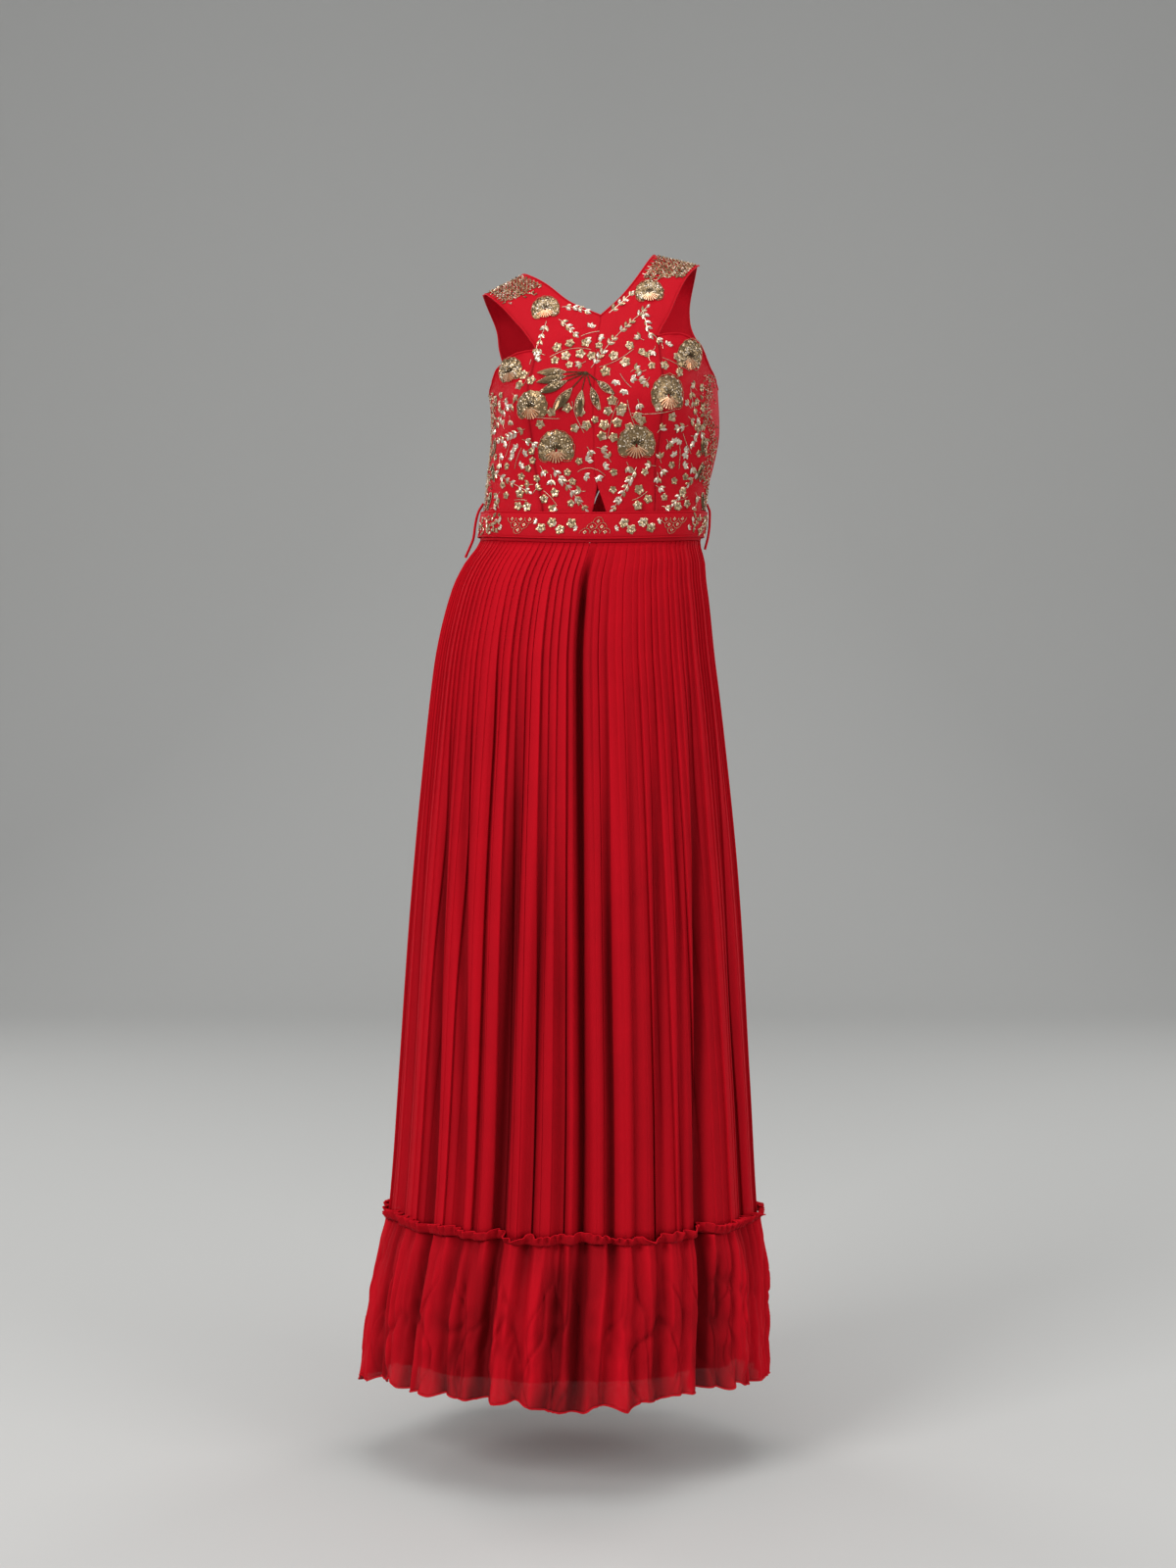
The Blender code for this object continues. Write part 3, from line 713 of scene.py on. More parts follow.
# %% [markdown]
# ## The flounce
# The flounce is one long strip gathered on to the skirt's edge. Its fullness makes many small ridges at
# the seam. Lower down they run together into loose folds that wander, with sharp crumpled creases where
# the light cloth has been handled. Its hem is a tight rolled edge that ripples like a lettuce leaf.
# %% Heights of the seam and the hem
HEM = (
    (-180, -1.376),
    (-90, -1.377),
    (-60, -1.354),
    (-25, -1.358),
    (0, -1.361),
    (45, -1.357),
    (70, -1.360),
    (90, -1.366),
    (130, -1.376),
    (180, -1.376),
)


def hem_height(angle):
    flat = through(HEM, (np.asarray(angle) + 180) % 360 - 180)
    return flat + 0.0065 * wander(angle, 0, 30, 1, 31) + 0.0048 * wander(angle, 0, 80, 1, 32)


def creases(angle, z, seed):
    """Thin crumpled lines: where a wandering value crosses zero."""
    drift = angle + 3.5 * wander(angle, z, 34, 0.055, seed)
    value = wander(drift, z, 60, 0.11, seed + 1) + 0.35 * wander(drift, z, 130, 0.05, seed + 2)
    return np.exp(-((value / 0.10) ** 2))


def flounce_panel(middle, rows=54, columns=580):
    angle = middle + np.linspace(-89.85, 89.85, columns)[None, :]
    share = np.linspace(0, 1, rows)[:, None] ** 0.95
    z = SKIRT_END - 0.0006 + share * (hem_height(angle) - SKIRT_END)
    drift = angle + (0.3 + 1.6 * share) * wander(angle, z, 30, 0.07, 21)
    gathers = wander(drift, z, 150, 0.16, 22) + 0.7 * wander(drift, z, 250, 0.09, 23)
    loose = wander(drift, z, 66, 0.22, 24)
    gather_size = 0.0032 * (1 - share) ** 1.4 + 0.0014
    loose_size = 0.0056 * smooth_step(0.02, 0.35, share)
    folds = main_fold_depth(angle + 0.8 * wander(angle, z, 36, 0.09, 25) * share, np.full_like(z, SKIRT_END))
    folds = folds * (1.0 + 0.1 * share)
    crumple = (
        creases(angle, z, 41) * 0.0028 + creases(angle, z, 51) * 0.0024
    ) * smooth_step(0.06, 0.40, share)
    crumple = crumple + 0.0016 * wander(drift, z, 200, 0.018, 28) * smooth_step(0.2, 0.6, share)
    ripple = 0.0050 * wander(angle, 0, 110, 1, 33) * smooth_step(0.80, 1.0, share)
    side = np.minimum(np.abs(angle - middle), 90)
    settle = smooth_step(0, 3, 90 - side)
    swell = 0.004 * smooth_step(0.0, 0.15, share) * (1 - 0.5 * share)
    out = gathers * gather_size + loose * loose_size - crumple + ripple
    out = out * settle - 0.004 * (1 - settle)
    grid = on_form(angle, z, out + swell - 0.003 - folds)
    # Painted shade: the colour darkens where the cloth lies pushed in, in gathers and main folds, with a
    # little over all of it.
    depth = np.clip(0.22 - out / 0.016 + folds / 0.026, 0, 1)
    return grid, depth


flounce_front, flounce_front_shade = flounce_panel(0)
flounce_back, flounce_back_shade = flounce_panel(180)
# deep is each flounce panel's painted shade.
for side, grid, deep in (
    ("front", flounce_front, flounce_front_shade),
    ("back", flounce_back, flounce_back_shade),
):
    cloth(
        f"gathered_flounce_{side}", grid, 0.0005, georgette, f"flounce_{side}", depth=deep,
    )

# %% The rolled hem
hem_path = np.concatenate([flounce_front[-1, ::2], flounce_back[-1, ::2]])
hem_path = np.concatenate([hem_path, hem_path[:1]]) + np.array([0, 0, -0.0004])
tubes("rolled_hem", [hem_path], 0.0011, georgette, sides=6)

# %% [markdown]
# ## The frill on the flounce's seam
# The flounce's top edge is left standing as a narrow ruffle with the same rolled edge. It is much longer
# than the seam that holds it, so it snakes in and out and flops over in places.
# %% Frill
def frill(columns=1680, rows=6):
    angle = np.linspace(0, 360, columns, endpoint=False)[None, :]
    share = np.linspace(0, 1, rows)[:, None]
    bunch = wander(angle, 0, 44, 1, 61)
    phase = np.cumsum(1.0 + 0.45 * wander(angle, 0, 90, 1, 62), axis=1)
    turns = phase / phase[0, -1] * 122 * 2 * math.pi
    sway = (np.sin(turns) + 0.35 * np.sin(2 * turns + 1.0)) * (0.8 + 0.6 * wander(angle, 0, 50, 1, 66))
    tall = 0.0104 + 0.0026 * bunch + 0.0014 * wander(angle, 0, 170, 1, 63)
    flop = smooth_step(0.1, 0.9, wander(angle, 0, 60, 1, 64))
    rise = tall * (share - 0.62 * flop * share**2.2)
    reach = 0.0018 + share * (0.0030 + 0.0038 * sway + 0.0050 * flop)
    swing = share * 0.42 * np.cos(turns)
    z = SKIRT_END - 0.0008 + 0.0028 * wander(angle, 0, 48, 1, 65)
    folds = 0.90 * main_fold_depth(angle, z)
    # The second value is painted shade: darkest at the frill's foot on the seam, lighter towards its edge
    # where it sways out.
    return on_form(angle + swing, z + rise, reach - folds), np.clip(0.55 - 0.5 * share * (1 + sway) / 2, 0, 1)


frill_grid, frill_shade = frill()
cloth(
    "seam_frill", frill_grid, 0.0006, georgette, "flounce_frill", closed=True,
    depth=np.broadcast_to(frill_shade, frill_grid.shape[:2]),
)
frill_edge = np.concatenate([frill_grid[-1], frill_grid[-1, :1]])
tubes("frill_edge", [frill_edge], 0.0008, georgette, sides=5)

# %% [markdown]
# ## The bodice
# Six panels are cut along the same pattern lines as the plain model. The front crosses high at the
# neck, and its straps widen over the shoulder. Each seam pulls the silk in a little, so a panel's edges
# dip, and painted shade darkens them there. The cloth strains from the notch of each strap and wrinkles
# a little where it meets the belt.
# %% Pattern lines
PRINCESS = (
    (0.0660, BODICE_END),
    (0.0700, -0.270),
    (0.0757, -0.215),
    (0.0772, -0.170),
    (0.0745, -0.135),
    (0.0705, NOTCH),
)
FRONT_NECK = {
    1: ((0.000, V_NECK), (0.023, -0.0638), (0.046, -0.0395), (0.073, -0.0053)),
    -1: ((0.000, V_NECK), (0.035, -0.0600), (0.059, -0.0350), (0.088, -0.0107)),
}
FRONT_STRAP = {
    1: ((0.0705, NOTCH), (0.0880, -0.0740), (0.1060, -0.0440), (0.125, -0.0240)),
    -1: ((0.0705, NOTCH), (0.0970, -0.0785), (0.1160, -0.0515), (0.135, -0.0276)),
}
BACK_NECK_LINE = {
    1: ((0.000, BACK_NECK), (0.045, -0.096), (0.064, -0.050), (0.073, -0.0053)),
    -1: ((0.000, BACK_NECK), (0.045, -0.096), (0.072, -0.050), (0.088, -0.0107)),
}
BACK_ARMHOLE = {
    1: ((0.1385, UNDERARM), (0.1215, -0.118), (0.1160, -0.072), (0.125, -0.0240)),
    -1: ((0.1385, UNDERARM), (0.1215, -0.118), (0.1210, -0.072), (0.135, -0.0276)),
}
KEYHOLE_HALF = 0.0095
CUP_EDGE = (
    (28, -0.1140),
    (34, -0.1125),
    (40, -0.1130),
    (45, -0.1160),
    (51, -0.1212),
    (57, -0.1270),
    (61, -0.1340),
    (68, -0.1455),
    (74, -0.1520),
    (90, UNDERARM),
)
SEAM = 0.0001


def along(line, where):
    """The (distance, height) at places along a pattern line, 0 at its first point and 1 at its last."""
    place = np.asarray(where) * (len(line) - 1)
    return [through([(i, point[k]) for i, point in enumerate(line)], place) for k in (0, 1)]


def creased(angle, z):
    """How far the silk stands out or in from the form."""
    soft = 0.0005 * wander(angle, z, 60, 0.05, 71) + 0.0003 * wander(angle, z, 140, 0.02, 72)
    strain = np.zeros_like(soft)
    for side in (1, -1):
        reach = (z - NOTCH) + 0.0016 * (side * angle - 36)
        strain -= 0.0012 * np.exp(-((reach / 0.004) ** 2)) * smooth_step(8, 26, side * angle)
    waist_folds = 0.0009 * wander(angle, 0, 110, 1, 73) * smooth_step(0.285, 0.312, -z)
    return soft + strain * (np.abs(angle) < 40) + waist_folds


def silk_panel(angles, heights, side, shoulder=0.0, flat_inside=False):
    """One panel on the form, with its side edges pulled in (one of them when flat_inside), running towards
    +X.
    """
    if side < 0:
        angles, heights = -angles[:, ::-1], heights[:, ::-1]
    columns = np.arange(angles.shape[1])
    from_edge = np.minimum(columns, columns[::-1])
    if flat_inside:
        from_edge = columns[::-1] if side > 0 else columns
    dip = 0.00035 * np.exp(-((from_edge / 1.0) ** 2))[None, :]
    grid = on_form(angles, heights, creased(angles, heights) - dip)
    grid[0, :, 1] += shoulder
    # The second value is painted shade: the colour darkens along the dipped seam edges.
    return grid, np.clip(dip / 0.0010, 0, 1) * np.ones_like(angles)


# %% Six silk panels
def front_centre(side, columns=34):
    share = np.linspace(0, 1, columns)[None, :]
    strap = np.linspace(1, 0, 34)[:-1]
    body = np.linspace(0, 1, 62)
    neck_x, neck_z = along(FRONT_NECK[side], strap)
    strap_x, strap_z = along(FRONT_STRAP[side], strap)
    inner_z = np.concatenate([neck_z, V_NECK + body * (BODICE_END - V_NECK)])
    outer_z = np.concatenate([strap_z, NOTCH + body * (BODICE_END - NOTCH)])
    open_share = np.clip((KEYHOLE_TOP - inner_z) / (KEYHOLE_TOP - BODICE_END), 0, 1)
    inner_x = KEYHOLE_HALF * open_share
    inner_x[: len(strap)] = neck_x
    outer_x = through([(z, x) for x, z in PRINCESS], outer_z)
    outer_x[: len(strap)] = strap_x
    inner_x, outer_x = inner_x + SEAM / 2, outer_x - SEAM / 2
    x = inner_x[:, None] + (outer_x - inner_x)[:, None] * share
    z = inner_z[:, None] + (outer_z - inner_z)[:, None] * share
    return silk_panel(angle_of(x, z), z, side, -0.0005, True), (len(strap), inner_x, inner_z)


def front_side(side, rows=50, columns=40):
    across, down = np.linspace(0, 1, columns)[None, :], np.linspace(0, 1, rows)[:, None]
    top = through(CUP_EDGE, 28 + 62 * across)
    z = top + (BODICE_END - top) * down
    seam_x = through([(height, x) for x, height in PRINCESS], z[:, :1]) + SEAM / 2
    seam = angle_of(seam_x, z[:, :1])
    angles = seam + (89.7 - seam) * across
    return silk_panel(angles, z, side)


def back_half(side, columns=44):
    share = np.linspace(0, 1, columns)[None, :]
    strap = np.linspace(1, 0, 30)[:-1]
    body = np.linspace(0, 1, 40)[:, None]
    inner_x, inner_z = along(BACK_NECK_LINE[side], strap)
    outer_x, outer_z = along(BACK_ARMHOLE[side], strap)
    x = inner_x[:, None] + (outer_x - inner_x)[:, None] * share + SEAM / 2
    z = inner_z[:, None] + (outer_z - inner_z)[:, None] * share
    low_inner = BACK_NECK + body * (BODICE_END - BACK_NECK)
    low_outer = UNDERARM + body * (BODICE_END - UNDERARM)
    low_angle = 179.7 - 89.4 * share + 0 * body
    free = angle_of(x, z, behind=True)
    even = free[:, :1] + (free[:, -1:] - free[:, :1]) * share
    settle = smooth_step(0.6, 0.0, strap)[:, None]
    angles = np.concatenate([free + (even - free) * settle, low_angle])
    heights = np.concatenate([z, low_inner + (low_outer - low_inner) * share])
    return silk_panel(angles[:, ::-1], heights[:, ::-1], side, 0.0005)


piping = []
# deep holds each panel's painted shade along its seams.
for name, side in (("left", 1), ("right", -1)):
    (grid, deep), (strap_rows, _, _) = front_centre(side)
    cloth(
        f"silk_front_{name}", grid, 0.0012, raw_silk, f"front_centre_{name}",
        depth=deep,
    )
    inner, outer = (0, -1) if side > 0 else (-1, 0)
    piping += [grid[: strap_rows + 1, inner], grid[: strap_rows + 1, outer]]
    cup, deep = front_side(side)
    cloth(
        f"silk_side_{name}", cup, 0.0012, raw_silk, f"front_side_{name}",
        depth=deep,
    )
    piping.append(cup[0])
    rear, deep = back_half(side)
    cloth(f"silk_back_{name}", rear, 0.0012, raw_silk, f"back_{name}", depth=deep)
    inner, outer = (-1, 0) if side > 0 else (0, -1)
    piping += [rear[:30, inner], rear[:30, outer]]
tubes("edge_piping", piping, 0.0010, raw_silk, sides=7)

# %% [markdown]
# ## Waistband, belt and belt loops
# The belt is a stiffened band with rolled edges. It stands clear of the plain waistband, whose lower edge
# shows under it. A thin fabric loop hangs at each side seam, a little slack.
# %% Bands and loops
def band(top, end, out, dome, rows):
    angle = np.linspace(-179.7, 179.7, 217)[None, :]
    share = np.linspace(0, 1, rows)[:, None]
    belly = dome * (1 - (2 * share - 1) ** 4) + 0.0002 * wander(angle, share * 0.05, 40, 0.02, 81)
    return on_form(angle, top + (end - top) * share, out + belly)


belt_grid = band(BELT_TOP, BELT_END, 0.0034, 0.0010, 12)
waist_grid = band(-0.3125, -0.3420, 0.0, 0.0003, 8)
cloth("belt_band", belt_grid, 0.0018, raw_silk, "belt")
cloth("waist_strip", waist_grid, 0.0012, raw_silk, "waistband")
tubes("belt_edges", [belt_grid[0], belt_grid[-1]], 0.0009, raw_silk, sides=7)

LOOP_RADIUS, LOOP_TOP = 0.0018, -0.2965
LOOP_ENDS = {1: -0.3520, -1: -0.3620}
for name, side in (("left", 1), ("right", -1)):
    start = on_form(90 * side, LOOP_TOP, LOOP_RADIUS)
    over = [on_form(90 * side, z, 0.0042 + LOOP_RADIUS) for z in (BELT_TOP, BELT_END)]
    slack = np.array([side * 0.0025, 0, 0])
    finish_point = on_form(90 * side, LOOP_ENDS[side], LOOP_RADIUS + 0.0022)
    stations = [start, over[0] + slack * 0.4, (over[0] + over[1]) / 2 + slack, over[1] + slack, finish_point]
    where = np.linspace(0, 4, 33)
    path = np.stack([through([(i, p[k]) for i, p in enumerate(stations)], where) for k in range(3)], axis=1)
    loop = tubes(f"loop_{name}", [path], LOOP_RADIUS * 0.9, raw_silk, sides=8)
    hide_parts(f"belt_loop_{name}")

# %% [markdown]
# ## Embroidery: shapes
# The embroidery is zari work: cupped sequins, round beads, long bugle beads and padded petals of metal
# thread. Each is one small closed shape of about 30 faces. All of them lie flat in X and Y, with Z
# pointing away from the cloth.
# %% Small shapes to repeat
def shape(name, verts, faces):
    mesh = bpy.data.meshes.new(name)
    mesh.from_pydata(verts, [], faces)
    piece = bpy.data.objects.new(name, mesh)
    bpy.context.scene.collection.objects.link(piece)
    return piece


def domed(name, outline, peak, shoulder=0.55):
    """A low closed pad over an outline: a rim, a raised shoulder ring and a middle."""
    count = len(outline)
    middle = np.mean(outline, axis=0)
    rim = [(x, y, 0.0) for x, y in outline]
    ring_points = [
        (middle[0] + (x - middle[0]) * shoulder, middle[1] + (y - middle[1]) * shoulder, peak * 0.8)
        for x, y in outline
    ]
    verts = rim + ring_points + [(middle[0], middle[1], peak)]
    after = [(k + 1) % count for k in range(count)]
    faces = [(k, after[k], count + after[k], count + k) for k in range(count)]
    faces += [(count + k, count + after[k], 2 * count) for k in range(count)]
    faces.append(tuple(reversed(range(count))))
    return shape(name, verts, faces)


def circle(count, radius=1.0):
    return [
        (radius * math.cos(2 * math.pi * k / count), radius * math.sin(2 * math.pi * k / count))
        for k in range(count)
    ]


def blade(width, blunt, count=6):
    """A leaf or petal outline from its root at 0 to its tip at 1 along X."""
    places = [k / count for k in range(count + 1)]
    half = [width * math.sin(math.pi * t**blunt) for t in places]
    upper = list(zip(places, half))
    lower = [(t, -h) for t, h in upper[1:-1]][::-1]
    return upper[::-1] + [(t, h) for t, h in lower[::-1]]


golden = 0.5 * (1 + math.sqrt(5))
ball_verts = [(a, b * golden, 0) for a in (-1, 1) for b in (-1, 1)]
ball_verts += [(0, a, b * golden) for a in (-1, 1) for b in (-1, 1)]
ball_verts += [(b * golden, 0, a) for a in (-1, 1) for b in (-1, 1)]
ball_verts = [tuple(c / math.hypot(1, golden) for c in v) for v in ball_verts]
ball_build = bmesh.new()
for v in ball_verts:
    ball_build.verts.new(v)
bmesh.ops.convex_hull(ball_build, input=ball_build.verts)
ball_mesh = bpy.data.meshes.new("bead")
ball_build.to_mesh(ball_mesh)
ball_build.free()
bead_shape = bpy.data.objects.new("bead", ball_mesh)
bpy.context.scene.collection.objects.link(bead_shape)

rod = circle(6, 0.22)
rod_verts = [(x, y, z + 0.1) for x in (-1, 1) for y, z in rod]
rod_faces = [(k, (k + 1) % 6, 6 + (k + 1) % 6, 6 + k) for k in range(6)]
rod_faces += [tuple(reversed(range(6))), tuple(range(6, 12))]
LEAF_WIDTH = 0.24
SHAPES = {
    "sequin": domed("sequin", circle(8), 0.20, 0.5),
    "bead": bead_shape,
    "bugle": shape("bugle", rod_verts, rod_faces),
    "petal": domed("petal", blade(0.36, 0.75), 0.15),
    "leaf": domed("leaf", blade(LEAF_WIDTH, 0.95), 0.14),
}
print({name: len(piece.data.polygons) for name, piece in SHAPES.items()})

# %% [markdown]
# ## Embroidery: metal
# Zari ages from bright silver to antique gold and dark bronze. Each stitch keeps a tone from 0 to 1 that
# picks its metal, and its roughness varies a little, so that some glitter and some stay dull.
# %% Metal with a tone
def zari(name, stops, rough):
    material = bpy.data.materials.new(name)
    material.use_nodes = True
    tree = material.node_tree
    shader = tree.nodes["Principled BSDF"]
    shader.inputs["Metallic"].default_value = 0.85
    tone = node(tree, "ShaderNodeAttribute", {"attribute_name": "tone"})
    ramp = node(tree, "ShaderNodeValToRGB").color_ramp
    ramp_node = [n for n in tree.nodes if n.type == "VALTORGB"][0]
    while len(ramp.elements) < len(stops):
        ramp.elements.new(0.5)
    for element, (place, colour) in zip(ramp.elements, stops):
        element.position = place
        element.color = (*colour, 1)
    tree.links.new(tone.outputs["Fac"], ramp_node.inputs["Fac"])
    tree.links.new(ramp_node.outputs["Color"], shader.inputs["Base Color"])
    place = node(tree, "ShaderNodeTexCoord")
    mottle = node(tree, "ShaderNodeTexNoise", {}, Scale=420.0, Detail=1.0)
    tree.links.new(place.outputs["Object"], mottle.inputs["Vector"])
    spread = math_node(tree, "MULTIPLY", mottle.outputs["Fac"], 0.30)
    tree.links.new(math_node(tree, "ADD", spread, rough), shader.inputs["Roughness"])
    return material


METALS = (
    (0.0, (0.07, 0.045, 0.022)),
    (0.35, (0.27, 0.18, 0.09)),
    (0.65, (0.50, 0.36, 0.21)),
    (1.0, (0.70, 0.60, 0.50)),
)
metal = zari("zari metal", METALS, 0.16)
peach = zari("peach glass", ((0.0, (0.70, 0.36, 0.20)), (1.0, (0.85, 0.55, 0.36))), 0.10)
print("metals:", metal.name, peach.name)

# %% [markdown]
# ## Embroidery: laying it on the cloth
# A place is given in centimetres: across from the centre front, towards the wearer's left, and down from
# the shoulder line. Distances across are measured along the cloth, so a motif keeps its size where the
# body curves away. Every stitch goes into one list, and the list becomes real shapes at the end.
# %% From centimetres on the cloth to space
ARC_ANGLES = np.linspace(-175, 175, 351)
ARC_HEIGHTS = np.linspace(0.0, -0.345, 70)
arc_points = on_form(ARC_ANGLES[None, :], ARC_HEIGHTS[:, None])
arc_steps = np.linalg.norm(np.diff(arc_points, axis=1), axis=2)
ARCS = np.concatenate([np.zeros((70, 1)), np.cumsum(arc_steps, axis=1)], axis=1)
ARCS = ARCS - ARCS[:, 175:176]


def arc_angle(across, z):
    """The angle at each distance along the cloth from the centre front."""
    row = np.clip(np.round(-np.asarray(z) / 0.005).astype(int), 0, 69)
    return np.array([np.interp(a, ARCS[r], ARC_ANGLES) for a, r in zip(across, row)])


stitches = {}
chance = np.random.default_rng(5)


def lay(kind, across, down, turn, size, tone, wide=1.0, lift=0.0, tilt=0.0):
    """One stitch: place and size in centimetres, turn in degrees from +across, tone from 0 to 1."""
    lean = chance.uniform(-tilt, tilt, 2)
    stitches.setdefault(kind, []).append((across, down, turn, size, size * wide, tone, lift, *lean))


def line_of(kind, path, gap, size, tone, wide=1.0, lift=0.0, tilt=0.0):
    """Stitches set end to end along a path."""
    path = np.asarray(path, float)
    steps = np.hypot(*np.diff(path, axis=0).T)
    run = np.concatenate([[0], np.cumsum(steps)])
    for at in np.arange(gap / 2, run[-1], gap):
        x, y = np.interp(at, run, path[:, 0]), np.interp(at, run, path[:, 1])
        ahead = np.interp(at + 0.05, run, path[:, 0]) - np.interp(at - 0.05, run, path[:, 0])
        rise = np.interp(at + 0.05, run, path[:, 1]) - np.interp(at - 0.05, run, path[:, 1])
        turn = math.degrees(math.atan2(-rise, ahead))
        lay(kind, x, y, turn, size, tone + chance.uniform(-0.12, 0.12), wide, lift, tilt)


def from_here(across, down, turn, reach):
    """The place this far away in this direction; 90 degrees is straight up."""
    return across + reach * math.cos(math.radians(turn)), down - reach * math.sin(math.radians(turn))


def bent(across, down, turn, length, bend, count=14):
    """A stem's path: it starts towards turn and has swung by bend at its end."""
    path = [(across, down)]
    for k in range(count):
        path.append(from_here(*path[-1], turn + bend * k / count, length / count))
    return path


# %% Motifs
def stem(path, tone=0.45, size=0.085):
    line_of("bugle", path, size * 1.8, size, tone + 0.25, 2.0, 0.03)


def flower(across, down, radius=0.62, tone=0.50):
    """Five padded petals, each with a sequin, round a bead."""
    start = chance.uniform(0, 72)
    for k in range(5):
        turn = start + 72 * k
        shade = tone + chance.uniform(-0.12, 0.18)
        lay("petal", across, down, turn, radius, shade + 0.18, 1.35, 0.02, 8)
        lay(
            "sequin", *from_here(across, down, turn, radius * 0.56), turn, radius * 0.36, shade, 1.0, 0.09, 24
        )
    lay("bead", across, down, 0, 0.10, 0.3, 1.0, 0.10)


def bud(across, down, turn, size=0.72):
    """Three silver petals."""
    for swing in (-48, 0, 48):
        lay("petal", across, down, turn + swing, size, 0.95, 0.9, 0.02, 6)


def leaf(across, down, turn, length, tone=0.36, width=0.15):
    """A leaf filled with sequins and edged with beads."""
    lay("leaf", across, down, turn, length, 0.12, width / LEAF_WIDTH, 0.0)
    for way in (1, -1):
        edge = []
        for t in np.linspace(0, 1, 12):
            x, y = from_here(across, down, turn, t * length)
            edge.append(from_here(x, y, turn + 90 * way, length * width * math.sin(math.pi * t**0.95)))
        line_of("bead", edge, 0.12, 0.065, 0.72, 1.0, 0.05)
    for t in np.arange(0.14, 0.92, 0.06 / length):
        side = chance.uniform(-0.75, 0.75) * width * length * math.sin(math.pi * t)
        x, y = from_here(*from_here(across, down, turn, t * length), turn + 90, side)
        lay("sequin", x, y, turn, 0.095, tone + chance.uniform(-0.3, 0.55), 1.0, 0.20, 32)


def spray(across, down, turn, length, bend, pairs, size=0.92):
    """A curved stem with paired silver leaflets."""
    path = bent(across, down, turn, length, bend)
    stem(path, 0.6, 0.08)
    for k in range(pairs):
        place = (k + 0.8) / pairs * (len(path) - 1)
        i = min(int(place), len(path) - 1)
        ahead = turn + bend * i / len(path)
        for swing in (32, -32):
            tone = chance.choice([0.55, 0.75, 0.97, 0.97])
            lay("leaf", *path[i], ahead + swing, size * (1 - 0.25 * k / pairs), tone, 1.0, 0.02, 10)
    lay("leaf", *path[-1], turn + bend, size * 0.8, 0.95, 1.1, 0.02, 8)


STEM_SWAY = 24  # how far a cluster's stem swings outwards, in degrees


def cluster(across, down, turn, length, bend, count, kind="flower"):
    """Flowers to the left and right of a wandering stem."""
    path = bent(across, down, turn, length * 0.85, bend + STEM_SWAY * (1 if across > 0 else -1))
    stem(path, 0.5, 0.08)
    for k in range(count):
        i = min(int((k + 0.7) / count * len(path)), len(path) - 1)
        ahead = turn + bend * i / len(path)
        way = 90 if k % 2 else -90
        place = from_here(*path[i], ahead + way, 0.72)
        if kind == "flower":
            flower(*place, 0.62 + chance.uniform(-0.05, 0.07))
        else:
            bud(*place, ahead + way * 0.5)


def bloom(across, down, radius, turn=-90):
    """A large open flower: scalloped petals round three sides, dark threads, and a fan of peach bugles."""
    for ring_radius, petals, grow in ((0.66, 9, 0.42), (0.40, 6, 0.36)):
        for k in range(petals):
            way = turn + 180 + (k - (petals - 1) / 2) * 250 / petals
            x, y = from_here(across, down, way, radius * ring_radius)
            tone = chance.uniform(0.42, 0.72)
            lay("sequin", x, y, way, radius * grow, 0.28, 0.95, 0.0, 4)
            for j in range(10):
                spin = way + j * 36
                place = from_here(x, y, spin, radius * grow * (0.72 if j % 2 else 0.36))
                lay("sequin", *place, spin, 0.135, tone + chance.uniform(-0.3, 0.4), 1.0, 0.13, 34)
            rim = [from_here(x, y, way + a, radius * grow) for a in range(-95, 96, 15)]
            if ring_radius > 0.5:
                line_of("bead", rim, 0.12, 0.055, 0.5, 1.0, 0.05)
    for k in range(7):
        way = turn + 180 + (k - 3) * 24
        lay("bugle", *from_here(across, down, way, radius * 0.24), way, radius * 0.16, 0.02, 0.7, 0.16)
    for k in range(9):
        way = turn + (k - 4) * 15
        lay(
            "fan", *from_here(across, down, way, radius * 0.42), way, radius * 0.30,
            chance.uniform(0, 1), 0.75, 0.12,
        )


print("motifs: stem, flower, bud, leaf, spray, cluster, bloom")

# %% [markdown]
# ## Embroidery: the layout
# The design grows from one hub under the neck: a fan of dark leaves, with sprays and vines round it.
# Eight large blooms stand about it, nearly in pairs. Places are whole or half centimetres, as on an
# embroiderer's layout, and the functions above grow the small flowers along their stems.
# %% Bodice front
HUB = (-1.0, 15.0)
HUB_LEAVES = ((174, 6.0), (187, 6.0), (202, 6.0), (230, 6.0), (260, 5.5), (290, 5.0), (320, 4.5))
BLOOMS = (
    (-6.5, 6.5, 1.6),
    (6.0, 6.0, 1.6),
    (-11.0, 13.5, 1.8),
    (12.0, 14.0, 1.9),
    (-7.5, 19.0, 2.0),
    (9.0, 18.0, 2.1),
    (-4.5, 24.0, 2.1),
    (5.0, 23.5, 2.1),
)
for turn, reach in HUB_LEAVES:
    for shift in (-0.05, 0.05):
        start = (HUB[0], HUB[1] + shift)
        line_of("bugle", [start, from_here(*start, turn, reach * 0.42)], 0.16, 0.12, 0.10, 1.2, 0.03)
    leaf(*from_here(*HUB, turn, reach * 0.40), turn, reach * 0.58)
for across, down, radius in BLOOMS:
    bloom(across, down, radius)
